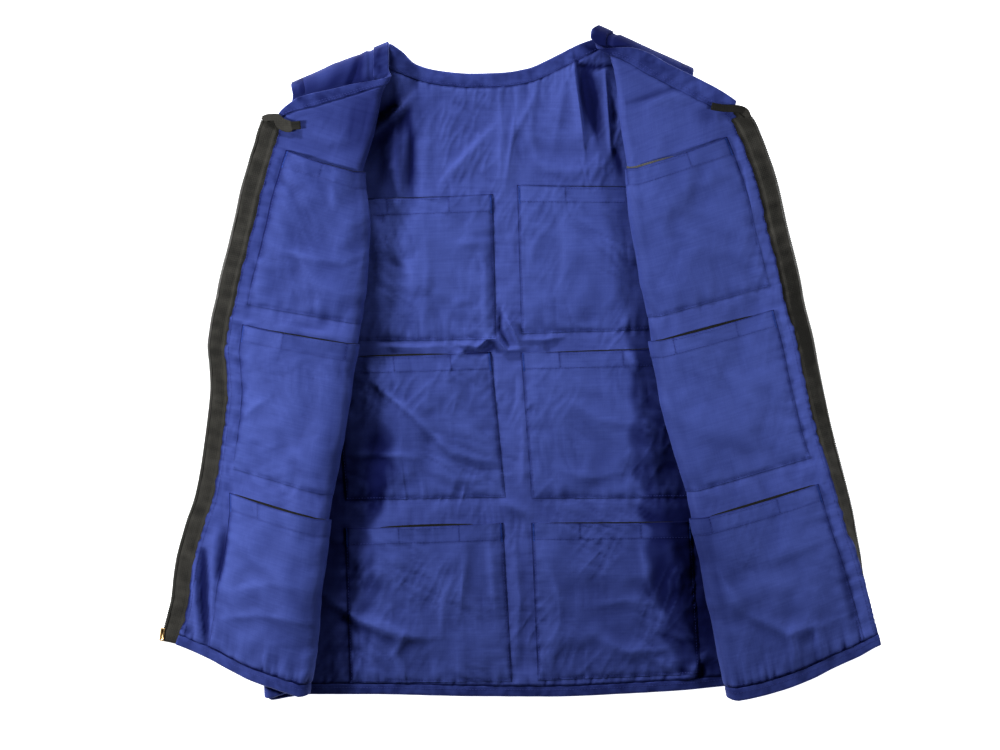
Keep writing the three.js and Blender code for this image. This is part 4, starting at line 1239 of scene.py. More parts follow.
def pocketLift(name, left, right, below, above, seed, gape):  # how far a pocket stands off its panel
    sides = np.minimum(left, right)
    seam = np.minimum(sides, below)
    lift = gape + pocketLook["pillow"] * (1 - np.exp(-((pressedEdge(sides, below) / 9) ** 2)))
    lift = lift + pocketPucker(softNoise(sides, below, (30, 9), seed), sides)
    lift = lift + pocketPucker(softNoise(left, below, (9, 30), seed + 1), below)
    wrinkled = pocketLook["crumple"] * (pocketLook["rightFront"] if "front_right" in name else 1.0)
    lift = lift + wrinkled * cuts[name].at(left, below) * (1 - np.exp(-((seam / 5) ** 2)))
    stitch = np.exp(-((seam - pocketLook["stitchIn"]) ** 2))
    stitch = stitch + 0.35 * np.exp(-((above - pocketLook["hemStitch"]) ** 2))
    return np.maximum(lift - pocketLook["stitchDeep"] * stitch, 0) + pocketLook["clear"]


def pocketSkin(above, edge):  # the turned hem at the mouth is thicker, the sewn edges are pressed flat
    turned = 0.5 * ease((pocketLook["hemStitch"] + 1.5 - above) / 2.5)
    return (pocketLook["thick"] + turned) * (0.4 + 0.6 * ease(edge / 3.5))


def pocketShade(name, seam, above, left, below, width, seed):  # painted shade along the sewn edges and the tape's stitched box, stronger and weaker by turns, and a painted shadow line along the mouth
    around = left + below
    line = (0.3 + 0.3 * softNoise(around, around * 0, 14, seed + 3)) * np.exp(-(((seam - 0.2) / 0.8) ** 2))
    line = line * np.where(below <= seam, 0.15, 1.0)  # faint along the bottom
    tape = np.min([np.abs(left - share * width) for share in closureBox[name]], axis=0)
    sewn = (0.26 + 0.2 * softNoise(around, around * 0, 9, seed + 4)) * np.exp(-(tape**2))
    sewn = sewn * (above < pocketLook["hemStitch"])
    return np.clip(line, 0, 1) + np.clip(sewn, 0, 1) + 0.42 * np.exp(-((above / 0.8) ** 2))


def pocketStitches(patch, width, length, group, name):
    inset, hem = pocketLook["stitchIn"], length - pocketLook["hemStitch"]
    down, level = np.linspace(length - 1, inset, 90), np.linspace(inset, width - inset, 90)
    paths = [(down, width - inset), (inset, level), (hem, level)]
    if group == "back":
        paths.append((down, inset))
    start, end = (share * width for share in closureBox[name])
    box = [(start, hem + 2), (start, length - 2), (end, length - 2), (end, hem + 2)]
    for (c0, r0), (c1, r1) in zip(box, box[1:]):
        paths.append((np.linspace(r0, r1, 40), np.linspace(c0, c1, 40)))
    stitchLines[group] += [patch.at(rows, cols, threadRise["seam"]) for rows, cols in paths]
    rows = np.linspace(length - tackLook["start"], length - tackLook["end"], tackLook["turns"])
    swing = tackLook["swing"] * np.where(np.arange(tackLook["turns"]) % 2, 1, -1)
    for column in ([inset, width - inset] if group == "back" else [width - inset]):
        tackLines.append(patch.at(rows, column + swing, threadRise["tack"]))


def buildBackPocket(name, corners, seed):
    mouthL, mouthR, bottomL, bottomR = (np.array(p, float) for p in corners)
    width, length = pocketSize(corners)
    cols = gridLines(width, pocketLook["step"], [share * width for share in closureBox[name]])
    rows = gridLines(length, pocketLook["step"], (length - pocketLook["hemStitch"],))
    across, up = (cols / width)[None, :, None], (rows / length)[:, None, None]
    flat = mix(mix(bottomL, bottomR, across), mix(mouthL, mouthR, across), up)
    left, below = np.broadcast_arrays(cols[None, :], rows[:, None])
    right, above = width - left, length - below
    gape = pocketLook["backGape"] * gapeShare(left / width, below / length)
    low = backLift(flat[..., 0], flat[..., 1]) + pocketLift(name, left, right, below, above, seed, gape)
    bow = 1.6 * np.exp(-above / 14) * (1 - (2 * left / width - 1) ** 2)  # the mouth sags
    flat = flat - np.stack([np.zeros(bow.shape), bow], -1)
    x, y, sides = flat[..., 0], flat[..., 1], np.minimum(left, right)
    high = withHeight(flat, low + pocketSkin(above, pressedEdge(sides, below)))
    lowGrid = withHeight(flat, low)
    # painted shade: along the seams and the mouth, in the deep folds, beside the creases and in the hollows,
    # less on the ridges
    shade = pocketShade(name, np.minimum(sides, below), above, left, below, width, seed)
    shade = shade + foldShade(x, y, backFolds) + creaseShade(x, y)
    shade = shade + pad["even"] + pad["hollow"] * hollow(high[..., 2], left, below)
    piece = clothShell(name, high, lowGrid, np.stack([left, below], -1), pocketCloth, shade)
    settle(piece, name)
    pocketStitches(Patch(rows, cols, high), width, length, "back", name)
    buildClosure(name, Patch(rows, cols, lowGrid), width, length)


def buildClosure(name, under, width, length):  # hook-and-loop tape under the mouth; past its stitched box the dark strip is a painted shadow of the open mouth
    start, end, out = tapeShow[name]
    deep, count, beyond = closureLook["deep"], closureLook["columns"], np.array([0.35, 0.7, 1.0]) * out
    c = np.linspace(start, end, count) * width
    r = np.append(np.linspace(length - deep, length, 9), length + beyond)
    grid = np.stack([under.at(np.full(count, min(v, length)), c, -closureLook["under"])[0] for v in r])
    last, before = grid[8], grid[7]
    ahead = (last - before) / np.maximum(np.linalg.norm(last - before, axis=1, keepdims=True), 1e-9)
    swell = (0.1 + 0.9 * np.sin(np.pi * np.linspace(0, 1, count)) ** 0.6)[:, None]
    for k in (9, 10, 11):
        grid[k] = last + (ahead - np.array([0, 0, closureLook["dip"]])) * (r[k] - length) * swell
    low = grid - np.array([0, 0, closureLook["thick"]])
    tone = np.full(grid.shape[:2], closureLook["pale" if name == "front_right_pocket_1" else "dark"])
    piece = clothShell(name + "_closure", grid, low, np.stack(np.meshgrid(c, r), -1), hookTape, tone)
    settle(piece, name + "_closure")


for number, (pocketName, pocketCorners) in enumerate(backPockets.items()):
    buildBackPocket(pocketName, pocketCorners, 40 + 5 * number)
print("back pockets made")

# front panels, with their pockets, bands and zip

frontLook = {"rowStep": 2.7, "counts": (8, 14, 4, 16, 44, 12), "folds": 1.6,
             "left": {"seed": 101, "crease": 0.5, "lapel": (31, 0.08)},
             "right": {"seed": 201, "crease": 0.4, "lapel": (14, 0.3)}}
# tone and bandTone are painted shade on the outer faces of the strap and of its bands, from shadeFrom and
# bandFrom up
strapLook = {"foldsFrom": 560, "shadeFrom": 545, "bandFrom": 520, "tone": 0.45, "bandTone": 0.3}


def frontLift(front, across, along, place):  # how far the lining stands off the middle surface's own offset
    look, m = frontLook[front.side], front.marks(along)
    seed, over = look["seed"], ease((across - 0.3 * m["loop"]) / (0.5 * m["loop"]))
    lift = pad["broad"] * softNoise(across, along, 62, seed)
    lift = lift + pad["small"] * softNoise(across, along, 24, seed + 1)
    upright, level = np.full(np.shape(across), 1e9), np.full(np.shape(across), 1e9)
    for bottom, mouth in front.pockets:
        outside = np.maximum(np.maximum(bottom - along, along - mouth), 0)
        upright = np.minimum(upright, np.hypot(across - m["pocketZip"], outside))
        level = np.minimum(level, np.hypot(along - bottom, np.maximum(across - m["pocketZip"], 0)))
    lift = sewnDown(lift, across, along, upright, level, (seed + 8, seed + 2, seed + 3))
    lift = lift + gathered(pad["hemPinch"], across, np.maximum(along - body["hem"], 0), gatherSize["hem"], 11)
    edge = np.maximum(m["reach"] - across, 0)
    lift = lift - pad["zipPinch"] * pinch(along, across * 0, gatherSize["zip"], seed + 5) * np.exp(-edge / 7)
    lift = lift + pad["crumple"] * cuts[front.side].at(across, along)
    lift = lift + look["crease"] * creases(across, along, seed + 500)
    folds = frontLook["folds"] * foldLift(place[..., 0], place[..., 1], frontFolds[front.side])
    lift = lift * (0.25 + 0.75 * over) + folds * over
    return np.maximum(lift * np.clip(front.curves["foldR"](along) / 9, 0.3, 1), -2.8)


def panelTop(front, across, along):  # the lining above the middle surface, thinner at the zip edge
    thin = 0.55 + 0.45 * ease((front.marks(along)["reach"] - across) / 5)
    return (body["half"] + frontLift(front, across, along, front.point(across, along))) * thin


def cutSize(near, far, along):  # length and mean width of a strip before it is folded, in metres
    length = np.hypot(np.diff(far), np.diff(along)).sum()
    area = ((far - near)[1:] + (far - near)[:-1]) @ np.diff(along) / 2
    return length * mm, abs(area) / length * mm


def offSurface(front, across, along, *heights):
    base, normal = front.point(across, along), front.normal(across, along)
    return [base + normal * height[..., None] for height in heights]


def acrossLines(m, edge, fineness):  # columns from armhole to edge, each mark on one column all the way
    keys = ("start", "rollEnd", "pocketSide", "loopStart", "loopEnd", "pocketZip")
    stops = [m[key] for key in keys] + [edge]
    parts = []
    for near, far, count in zip(stops, stops[1:], frontLook["counts"]):
        shares = np.linspace(0, 1, fineness * count + 1)[None, :-1]
        parts.append(mix(near[:, None], far[:, None], shares))
    return np.concatenate(parts + [edge[:, None]], 1)


def buildFrontPanel(front):
    side, seed, name = front.side, frontLook[front.side]["seed"], f"front_{front.side}_panel"
    first = body["hem"] + body["hemGap"]
    marks = [v - first for pair in front.pockets for v in pair if v > 20]
    along = first + gridLines(front.top - first, frontLook["rowStep"], marks)
    m = front.marks(along)
    wave = 1.5 * softNoise(along, along * 0, 13, seed + 9) - 1.8 * pinch(along, along * 0, 18, seed + 5)
    wave = wave - 0.6 - 3.0 * ease((along - 330) / 70) + 7 * front.tuck(along)  # drawn in more higher up
    edge = m["reach"] + np.where(along < zipTop[side], wave, 0.3)
    across = acrossLines(m, edge, 1)
    rows = np.broadcast_to(along[:, None], across.shape)
    thin = 0.08 + 0.92 * ease((m["reach"][:, None] - across - 4.0) / 3.5)
    under = -(body["half"] + 0.3 * softNoise(across, rows, 30, seed + 6)) * thin
    place = front.point(across, rows)
    x, y, loop = place[..., 0], place[..., 1], m["loop"][:, None]
    strap = foldLift(x, y, strapFolds[side]) * (rows > strapLook["foldsFrom"]) * (across < loop)
    top = panelTop(front, across, rows)
    high, low = offSurface(front, across, rows, top, under - strap)
    lip = (edge[:, None] - across) * (rows < zipTop[side]) + 9 * (rows >= zipTop[side])
    # painted shade: along the hem and the zip edge, in the deep folds and in the hollows, less on the ridges
    shade = seamShadow(across, rows - body["hem"], gatherSize["hem"]) * (across > 0)
    shade = shade + 0.6 * seamShadow(rows, lip, gatherSize["zip"])
    shade = shade + foldShade(x, y, frontFolds[side]) * (across > loop)
    shade = shade + pad["even"] + pad["hollow"] * hollow(top, across, rows)
    shade = np.clip(shade, 0, pad["darkest"])
    # painted shade on the strap's outer face, deeper in its folds
    outside = foldShade(x, y, strapFolds[side]) + strapLook["tone"] + 0.15 * softNoise(across, rows, 18, 77)
    outside = outside * ease((rows - strapLook["shadeFrom"]) / 30)
    piece = clothShell(name, high, low, np.stack([across, rows], -1), blueCloth, shade, outside)
    settle(piece, name)


def buildStrip(front, kind, across, along, crown, uv):  # one folded band on a front's edge
    name, half = f"front_{front.side}_{kind}", body["half"] * 0.9
    extra = 0.3 * softNoise(across, along, 15, frontLook[front.side]["seed"] + 7)
    shade = bandTone(across, along, bandLook["frontHemTone" if kind == "hem" else "frontTone"])
    # painted shade on the band's outer face along the strap
    under = shade + strapLook["bandTone"] * ease((along - strapLook["bandFrom"]) / 40)
    high, low = offSurface(front, across, along, half + crown + extra, -(half + crown * 0.6))
    piece = clothShell(name, high, low, uv, bandCloth, shade, under)
    settle(piece, name)
    return high


def buildFrontHem(front):
    along = bandLines * body["hem"]
    m = front.marks(along)
    edge = m["reach"] - 0.2
    across = acrossLines(m, edge, 2)
    rows = np.broadcast_to(along[:, None], across.shape)
    crown = np.broadcast_to(bandCrown(0.45)[:, None], across.shape)
    high = buildStrip(front, "hem", across, rows, crown, np.stack([across, rows], -1))
    patches[f"front_{front.side}_hem"] = Patch(bandLines, np.arange(across.shape[1]), high)


def buildUpright(front, kind, near, far, along):  # a band that runs up a front's edge
    across = mix(near[:, None], far[:, None], bandLines)
    rows = np.broadcast_to(along[:, None], across.shape)
    crown = np.broadcast_to(bandCrown(0.45), across.shape)
    flat = cutSize(across[:, 0], across[:, -1], along)
    high = buildStrip(front, kind, across, rows, crown, np.stack([rows, across], -1))
    patches[f"front_{front.side}_{kind}"] = Patch(along, bandLines, high)


def buildFrontStrips(front):
    side = front.side
    buildFrontHem(front)
    along = np.linspace(zipTop[side] + 0.8, front.top, 150)
    m = front.marks(along)
    turning = np.maximum(0, 1 - np.abs(m["reach"] - 3) / 20)
    length, least = frontLook[side]["lapel"]
    cut = np.clip((along - zipTop[side]) / length, least, 1) ** 1.1  # the lapel's corner
    buildUpright(front, "neck_band", m["reach"] + 0.4 + 0.8 * turning, m["reach"] + m["band"] * cut, along)
    along = np.linspace(390, front.top, 150)
    m = front.marks(along)
    buildUpright(front, "armhole_band", m["edge"], m["start"] - 0.2, along)


def buildFrontPocket(front, index, seed):
    side = front.side
    name = f"front_{side}_pocket_{index + 1}"
    bottom, mouth = front.pockets[index]
    length = float(mouth - bottom)
    rows = gridLines(length, pocketLook["step"], (length - pocketLook["hemStitch"],))
    along = bottom + rows
    m = front.marks(along)
    width = float((m["pocketZip"] - m["pocketSide"]).mean())
    cols = gridLines(width, pocketLook["step"], [share * width for share in closureBox[name]])
    across = mix(m["pocketSide"][:, None], m["pocketZip"][:, None], cols / width)
    alongs = np.broadcast_to(along[:, None], across.shape)
    left, below = np.broadcast_arrays(cols[None, :], rows[:, None])
    right, above = width - left, length - below
    share = (across - m["loopEnd"][:, None]) / (m["pocketZip"] - m["loopEnd"])[:, None]
    gape = np.where(share > 0, pocketLook["frontGape"] * gapeShare(share, below / length), 0.0)
    low = panelTop(front, across, alongs) + pocketLift(name, left + 12, right, below, above, seed, gape)
    sag = np.where(share > 0, 1 - (2 * np.clip(share, 0, 1) - 1) ** 2, 0)  # the mouth sags
    bow = 1.4 * np.exp(-above / 14) * sag
    skin = pocketSkin(above, pressedEdge(right, below))
    high, lowGrid = offSurface(front, across, alongs - bow, low + skin, low)
    # painted shade: along the seams and the mouth, in the deep folds, in the hollows and, at the lowest
    # pocket, along the hem; less on the ridges
    shade = pocketShade(name, np.minimum(right, below), above, left, below, width, seed)
    shade = shade + foldShade(high[..., 0], high[..., 1], frontFolds[side]) * (share > 0)
    shade = shade + pad["even"] + pad["hollow"] * hollow(low, left, below)
    if index == 2:  # sewn into the hem
        shade = shade + seamShadow(across, below, gatherSize["hem"])
    piece = clothShell(name, high, lowGrid, np.stack([left, below], -1), pocketCloth, shade)
    settle(piece, name)
    pocketStitches(Patch(rows, cols, high), width, length, side, name)
    buildClosure(name, Patch(rows, cols, lowGrid), width, length)


for one in fronts.values():
    buildFrontPanel(one)
    buildFrontStrips(one)
    for k in range(3):
        buildFrontPocket(one, k, 140 + 30 * k + (300 if one.side == "right" else 0))
print("fronts made")

# the zip: tapes, turned ends, teeth, box and pin

zipLook = {
    "tape": 1.2, "bead": 0.5, "toothPitch": 2.3, "toothWide": 2.2, "toothLong": 1.9, "toothHigh": 2.2,
    "headRadius": 0.9, "lane": 16.9, "fittingLane": 17.8,
    "lanes": (-7.0, -5.4, -3.8, -2.2, -0.8, 0.6, 2.2, 3.6, 5.2, 7.0, 8.8, 10.6, 12.2, 13.6,
              14.8, 15.4, 16.1, 16.8, 17.4, 17.9),
    "over": {"left": (6.0, 8.0, 15.0), "right": (8.0, 6.0, 14.2)},  # rise, start and span of the corner
    # tone darkens stretches of each tape by the length from the hem; on the right tape it is painted shade
    "tone": {"left": ((0, 0.0), (150, -0.02), (260, -0.16), (400, -0.26), (540, -0.2)),
             "right": ((0, -0.1), (200, -0.16), (280, -0.22), (325, -0.5), (370, -0.45), (430, -0.2),
                       (540, -0.12))},
}
endLook = {  # the turned-in tape ends: middle line in photo pixels, width in millimetres, rise over the cloth
    "left": {"path": ((264, 120), (270, 118), (277, 118), (280, 122), (283, 125), (289, 127), (291.5, 126.8),
                      (293, 126.5), (301, 126)),
             "wide": (7, 7, 7.5, 10.5, 12, 12, 11, 8.5, 8),
             "rise": (0.2, 0.4, 0.8, 1.0, 1.3, 1.6, 2.0, 2.4, 3.8), "darkFrom": 0.74},
    "right": {"path": ((748, 118), (743.5, 112), (736, 109.5), (724, 109), (711, 107)),
              "wide": (5, 8, 7.5, 7, 7.5),
              "rise": (0.1, 0.6, 1.2, 2.0, 4.0), "darkFrom": 0.2},
    "thick": 1.0, "cutWide": 10.0,
}
boxLook = {"size": (5.0, 13.6, 3.2), "bevel": 0.7, "slot": (1.5, 9.5, 0.9)}
pinLook = {"size": (2.4, 13.6, 2.4), "bevel": 0.6, "slot": (0.7, 8.0, 0.35)}


def buildTapes(front):
    side, seed, name = front.side, frontLook[front.side]["seed"], f"zip_tape_{front.side}"
    above, start, span = zipLook["over"][side]
    turn = zipTop[side] - start  # where the tape's corner begins
    along = np.append(np.linspace(0.3, turn, 230), turn + np.linspace(0, start + above, 24)[1:])
    m, lane = front.marks(along), np.array(zipLook["lanes"])
    corner = np.sqrt(1 - (np.maximum(along - zipTop[side] + start, 0) / span) ** 2)[:, None]
    across = m["reach"][:, None] + np.where(lane > 0, lane * corner, lane)
    rows = np.broadcast_to(along[:, None], across.shape)
    bead = zipLook["bead"] * np.exp(-(((lane - 16.3) / 0.9) ** 2))
    rise = mix(-0.45, zipLook["tape"] / 2, ease((lane + 0.5) / 5)) + bead
    ripple = 0.55 * softNoise(across, rows, (30, 9), seed + 11)
    ripple = ripple + 0.5 * softNoise(across, rows, (24, 34), seed + 12)
    top = rise + ripple * ease((lane - 1) / 6)
    high, low = offSurface(front, across, rows, top, top - zipLook["tape"])
    pale = 0.5 * np.exp(-(((lane - 1.2) / 1.6) ** 2)) + 0.18 * np.exp(-(((lane - 14.5) / 2.0) ** 2))
    # the tone rows: on the right tape, painted shade
    pale = pale + columnCurve(*zip(*zipLook["tone"][side]))(rows)
    pale = pale + 0.22 * softNoise(across, rows, (26, 8), seed + 13)
    pale = pale + 0.14 * softNoise(across, rows, (9, 22), seed + 14)
    piece = clothShell(name, high, low, np.stack([rows, rows * 0 + lane], -1), zipCloth, pale)
    settle(piece, name)
    flat = cutSize(across[:, 0], across[:, -1], along)
    buildTapeEnd(front)


def clothUnder(front, x, y):  # the highest cloth close to each point near the top of the zip
    top = zipTop[front.side]
    reach = float(front.marks(np.array(top))["reach"])
    across, along = np.meshgrid(reach + np.linspace(-52, 22, 90), top + np.linspace(-26, 40, 80))
    lining = np.maximum(panelTop(front, across, along), 2.6)
    cloth = offSurface(front, across, along, lining)[0].reshape(-1, 3)
    gap = np.hypot(cloth[:, 0] - x[..., None], cloth[:, 1] - y[..., None])
    return np.where(gap < 3.2, cloth[:, 2], 0).max(-1)


def buildTapeEnd(front):
    side, look, name, count = front.side, endLook[front.side], f"zip_end_{front.side}", 48
    steps = np.arange(len(look["path"]))
    t = np.linspace(0, len(steps) - 1, count)
    middle = throughPoints([fromPhoto(*p) for p in look["path"]], count)
    ahead = np.gradient(middle, axis=0)
    ahead /= np.linalg.norm(ahead, axis=1, keepdims=True)
    wide, rise = columnCurve(steps, look["wide"])(t), columnCurve(steps, look["rise"])(t)
    lane = np.linspace(-0.5, 0.5, 12)
    sideways = np.stack([-ahead[:, 1], ahead[:, 0]], -1) * wide[:, None]
    flat = middle[:, None] + sideways[:, None] * lane[None, :, None]
    x, y = flat[..., 0], flat[..., 1]
    base = clothUnder(front, x, y)
    base = np.maximum(base, base.max(1, keepdims=True) - 1.2)
    seed = frontLook[side]["seed"]
    curl = rise[:, None] * (0.75 + 0.5 * np.abs(lane)) + 0.3 * softNoise(x, y, 7, seed + 13)
    low = withHeight(flat, base + 0.3 + curl)
    high = low + np.array([0, 0, endLook["thick"]])
    dark = -0.6 * ease((t / steps[-1] - look["darkFrom"]) / 0.1)
    tone = np.broadcast_to(dark[:, None], x.shape)
    piece = clothShell(name, high, low, flat, zipCloth, tone)
    settle(piece, name)


def pathMesh(name, lines):  # open lines of points, each with the direction that is up from the cloth
    points = np.concatenate([p for p, n in lines])
    ups = np.concatenate([n for p, n in lines]).astype(np.float32)
    edges, first = [], 0
    for p, _ in lines:
        edges += [(first + i, first + i + 1) for i in range(len(p) - 1)]
        first += len(p)
    mesh = bpy.data.meshes.new(name)
    mesh.from_pydata((points * mm).tolist(), edges, [])
    mesh.attributes.new("up", "FLOAT_VECTOR", "POINT").data.foreach_set("vector", ups.ravel())
    return show(name, mesh)


class RepeatTree(NodeWork):  # a node tree that lays one small shape along the lines of a mesh
    def __init__(self, name, sizes):
        self.tree = bpy.data.node_groups.new(name, "GeometryNodeTree")
        face = self.tree.interface
        face.new_socket("Geometry", in_out="INPUT", socket_type="NodeSocketGeometry")
        for label, value in sizes.items():
            face.new_socket(label, in_out="INPUT", socket_type="NodeSocketFloat").default_value = value
        finish = face.new_socket("Finish", in_out="INPUT", socket_type="NodeSocketMaterial")
        self.finishSocket = finish.identifier
        face.new_socket("Geometry", in_out="OUTPUT", socket_type="NodeSocketGeometry")
        self.given = self.add("NodeGroupInput")
        self.out = self.add("NodeGroupOutput")

    def vector(self, x, y, z):
        node = self.add("ShaderNodeCombineXYZ")
        for part, socket in zip((x, y, z), node.inputs):
            if isinstance(part, (int, float)):
                socket.default_value = part
            else:
                self.link(part, socket)
        return node.outputs[0]

    def line(self):
        node = self.add("GeometryNodeMeshToCurve")
        self.link(self.given.outputs["Geometry"], node.inputs["Mesh"])
        return node.outputs["Curve"]

    def upright(self):
        node = self.add("GeometryNodeInputNamedAttribute", data_type="FLOAT_VECTOR")
        node.inputs["Name"].default_value = "up"
        return node.outputs["Attribute"]

    def spaced(self, curve):
        node = self.add("GeometryNodeResampleCurve")
        if "Mode" in node.inputs:
            node.inputs["Mode"].default_value = "Length"
        else:
            node.mode = "LENGTH"
        self.link(curve, node.inputs["Curve"])
        self.link(self.given.outputs["Pitch"], node.inputs["Length"])
        return node.outputs["Curve"]

    def lay(self, curve, shape):  # X along the line, Z up from the cloth
        first = self.add("FunctionNodeAlignRotationToVector", axis="X")
        self.link(self.add("GeometryNodeInputTangent").outputs["Tangent"], first.inputs["Vector"])
        second = self.add("FunctionNodeAlignRotationToVector", axis="Z", pivot_axis="X")
        self.link(first.outputs["Rotation"], second.inputs["Rotation"])
        self.link(self.upright(), second.inputs["Vector"])
        node = self.add("GeometryNodeInstanceOnPoints")
        self.link(curve, node.inputs["Points"])
        self.link(shape, node.inputs["Instance"])
        self.link(second.outputs["Rotation"], node.inputs["Rotation"])
        return node.outputs["Instances"]

    def close(self, geometry, smooth=True):
        real = self.add("GeometryNodeRealizeInstances")
        shade = self.add("GeometryNodeSetShadeSmooth")
        paint = self.add("GeometryNodeSetMaterial")
        shade.inputs["Shade Smooth"].default_value = smooth
        self.link(geometry, real.inputs["Geometry"])
        self.link(real.outputs["Geometry"], shade.inputs["Geometry"])
        self.link(shade.outputs["Geometry"], paint.inputs["Geometry"])
        self.link(self.given.outputs["Finish"], paint.inputs["Material"])
        self.link(paint.outputs["Geometry"], self.out.inputs["Geometry"])

    def run(self, piece, finish):  # the tree's result as a plain mesh
        work = piece.modifiers.new("repeat", "NODES")
        work.node_group = self.tree
        work[self.finishSocket] = finish
        bpy.context.view_layer.update()
        ready = piece.evaluated_get(bpy.context.evaluated_depsgraph_get())
        mesh = bpy.data.meshes.new_from_object(ready)
        piece.modifiers.remove(work)
        piece.data = mesh
        for layer in [a.name for a in mesh.attributes if a.name in ("up", "UVMap")]:
            mesh.attributes.remove(mesh.attributes[layer])
        return piece


def toothTree():
    t = RepeatTree("zipTooth", {
        "Pitch": zipLook["toothPitch"] * mm,
        "Wide": zipLook["toothWide"] * mm,
        "Long": zipLook["toothLong"] * mm,
        "High": zipLook["toothHigh"] * mm,
        "Head": zipLook["headRadius"] * mm,
    })
    block = t.add("GeometryNodeMeshCube")
    size = t.vector(*(t.given.outputs[label] for label in ("Long", "Wide", "High")))
    t.link(size, block.inputs["Size"])
    head = t.add("GeometryNodeMeshCylinder")
    head.inputs["Vertices"].default_value = 8
    t.link(t.given.outputs["Head"], head.inputs["Radius"])
    t.link(t.given.outputs["High"], head.inputs["Depth"])
    moved = t.add("GeometryNodeTransform")
    half = t.add("ShaderNodeMath", operation="MULTIPLY")
    half.inputs[1].default_value = 0.45
    t.link(t.given.outputs["Wide"], half.inputs[0])
    t.link(head.outputs["Mesh"], moved.inputs["Geometry"])
    t.link(t.vector(0.0, half.outputs[0], 0.0), moved.inputs["Translation"])
    both = t.add("GeometryNodeJoinGeometry")
    t.link(block.outputs["Mesh"], both.inputs["Geometry"])
    t.link(moved.outputs["Geometry"], both.inputs["Geometry"])
    t.close(t.lay(t.spaced(t.line()), both.outputs["Geometry"]), False)
    return t


def stitchTree(name):
    sizes = {label: stitchLook[label.lower()] * mm for label in ("Pitch", "Length", "Width", "Height")}
    t = RepeatTree(name, sizes)
    bead = t.add("GeometryNodeMeshUVSphere")
    bead.inputs["Segments"].default_value = 6
    bead.inputs["Rings"].default_value = 4
    bead.inputs["Radius"].default_value = 0.5
    shaped = t.add("GeometryNodeTransform")
    scale = t.vector(*(t.given.outputs[label] for label in ("Length", "Width", "Height")))
    t.link(bead.outputs["Mesh"], shaped.inputs["Geometry"])
    t.link(scale, shaped.inputs["Scale"])
    t.close(t.lay(t.spaced(t.line()), shaped.outputs["Geometry"]))
    return t


def threadTree(name, radius):
    t = RepeatTree(name, {"Radius": radius * mm})
    ring = t.add("GeometryNodeCurvePrimitiveCircle")
    ring.inputs["Resolution"].default_value = 5
    t.link(t.given.outputs["Radius"], ring.inputs["Radius"])
    tube = t.add("GeometryNodeCurveToMesh")
    tube.inputs["Fill Caps"].default_value = True
    t.link(t.line(), tube.inputs["Curve"])
    t.link(ring.outputs["Curve"], tube.inputs["Profile Curve"])
    t.close(tube.outputs["Mesh"])
    return t


def buildTeeth(front, tree):
    side = front.side
    along = np.linspace(14.6 + zipLook["toothPitch"] / 2, zipTop[side] - 1.5, 320)
    if front.inward < 0:
        along = along[::-1]
    across = front.marks(along)["reach"] + zipLook["lane"]
    normal = front.normal(across, along)
    piece = pathMesh(f"zip_teeth_{side}", [(front.point(across, along) + normal * 0.4, normal)])
    tree.run(piece, toothPlastic)
    settle(piece, f"zip_teeth_{side}")


def slottedBlock(look):  # a small bevelled block with a slot in its top
    wide, along, high = look["size"]
    slotWide, slotLong, slotDeep = look["slot"]
    shape = bmesh.new()
    bmesh.ops.create_cube(shape, size=1.0)
    bmesh.ops.scale(shape, vec=(wide, along, high), verts=shape.verts)
    edges = list(shape.edges)
    bmesh.ops.bevel(shape, geom=edges, offset=look["bevel"], segments=3, profile=0.6, affect="EDGES")
    top = max(shape.faces, key=lambda f: f.calc_center_median().z)
    bmesh.ops.inset_region(shape, faces=[top], thickness=min(wide, along) * 0.18)
    shape.normal_update()
    for v in top.verts:
        v.co.x = math.copysign(slotWide / 2, v.co.x)
        v.co.y = math.copysign(slotLong / 2, v.co.y)
    sunk = bmesh.ops.extrude_face_region(shape, geom=[top])
    for v in [g for g in sunk["geom"] if isinstance(g, bmesh.types.BMVert)]:
        v.co.z -= slotDeep
    bmesh.ops.delete(shape, geom=[top], context="FACES")
    return shape


def buildFitting(front, name, look):  # in the teeth's lane, at the bottom of the tape
    shape = slottedBlock(look)
    middle = np.array([7.5])
    across = front.marks(middle)["reach"] + zipLook["fittingLane"]
    origin, up = front.point(across, middle)[0], front.normal(across, middle)[0]
    ahead = front.point(across, middle + 1)[0] - front.point(across, middle - 1)[0]
    ahead /= np.linalg.norm(ahead)
    sideways = np.cross(ahead, up)
    for v in shape.verts:
        v.co = [c * mm for c in origin + sideways * v.co.x + ahead * v.co.y + up * (v.co.z + 0.6)]
    bmesh.ops.recalc_face_normals(shape, faces=shape.faces)
    mesh = bpy.data.meshes.new(name)
    shape.to_mesh(mesh)
    shape.free()
    for face in mesh.polygons:
        face.use_smooth = True
    mesh.materials.append(dullBrass)
    settle(show(name, mesh), name)


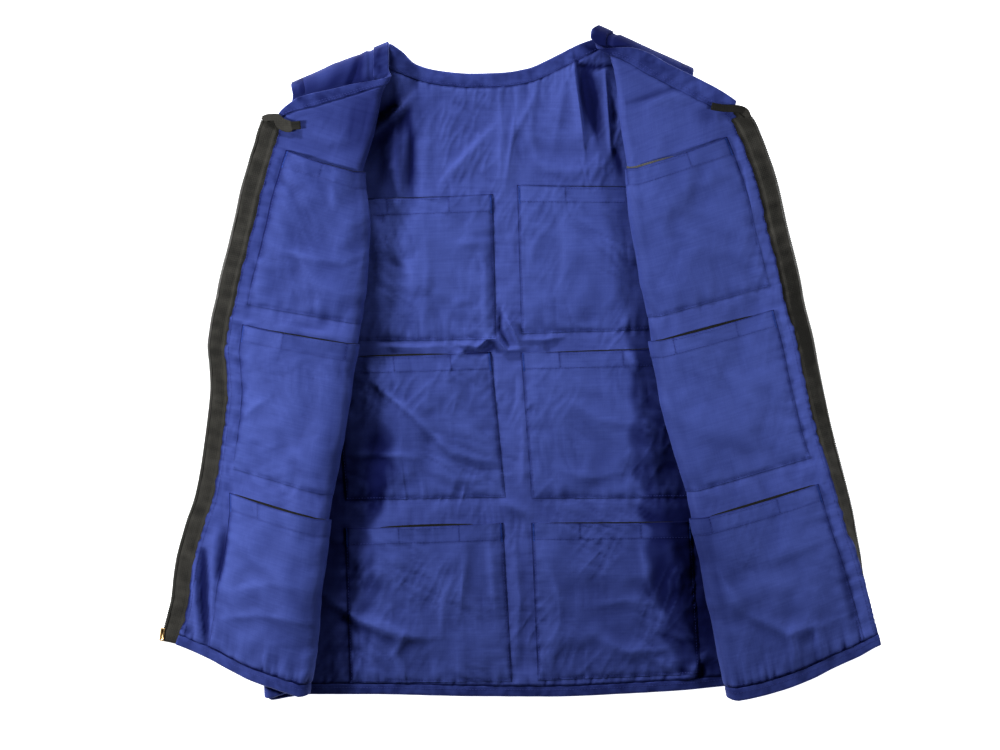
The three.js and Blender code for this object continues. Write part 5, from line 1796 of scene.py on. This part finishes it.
teeth = toothTree()
for one in fronts.values():
    buildTapes(one)
    buildTeeth(one, teeth)
buildFitting(fronts["left"], "zip_box_left", boxLook)
buildFitting(fronts["right"], "zip_pin_right", pinLook)
print("zip made")

# stitches and bar tacks

stitchLook = {"length": 2.5, "width": 0.62, "height": 0.55, "pitch": 3.1, "tackRadius": 0.4,
              "hemAt": 0.62, "neckAt": (0.14, 0.3), "armAt": 0.8, "zipIn": 4.5}


def panelLine(front, across, along):
    normal = front.normal(across, along)
    height = panelTop(front, across, along) + threadRise["seam"]
    return front.point(across, along) + normal * height[..., None], normal


def bandLine(name, at, count, upright):  # a line along a band, at a share of its width
    patch = patches[name]
    run = patch.rows if upright else patch.cols
    steps = np.linspace(run[0], run[-1], count)
    rows, cols = (steps, at) if upright else (at, steps)
    return patch.at(rows, cols, threadRise["seam"])


def gatherLines():
    for group, name in (("back", "back_hem"), ("left", "front_left_hem"), ("right", "front_right_hem")):
        stitchLines[group].append(bandLine(name, stitchLook["hemAt"], 400, False))
    stitchLines["back"].append(bandLine("back_neck_band", stitchLook["neckAt"][0], 300, False))
    for side, front in fronts.items():
        for at in stitchLook["neckAt"]:
            stitchLines[side].append(bandLine(f"front_{side}_neck_band", at, 300, True))
        stitchLines[side].append(bandLine(f"front_{side}_armhole_band", stitchLook["armAt"], 300, True))
        stitchLines["back"].append(bandLine(f"back_{side}_armhole_band", 1 - stitchLook["armAt"], 200, True))
        along = np.linspace(16, zipTop[side], 400)
        stitchLines[side].append(panelLine(front, front.marks(along)["reach"] - stitchLook["zipIn"], along))


def layStitches():
    gatherLines()
    tree = stitchTree("seamStitch")
    for group, lines in stitchLines.items():
        piece = pathMesh(f"stitches_{group}", lines)
        tree.run(piece, seamThread)
        settle(piece, None)
        print("stitches", group, len(piece.data.polygons))
    piece = pathMesh("bar_tacks", tackLines)
    threadTree("tackThread", stitchLook["tackRadius"]).run(piece, tackThread)
    settle(piece, None)
    print("bar tacks", len(piece.data.polygons))


layStitches()
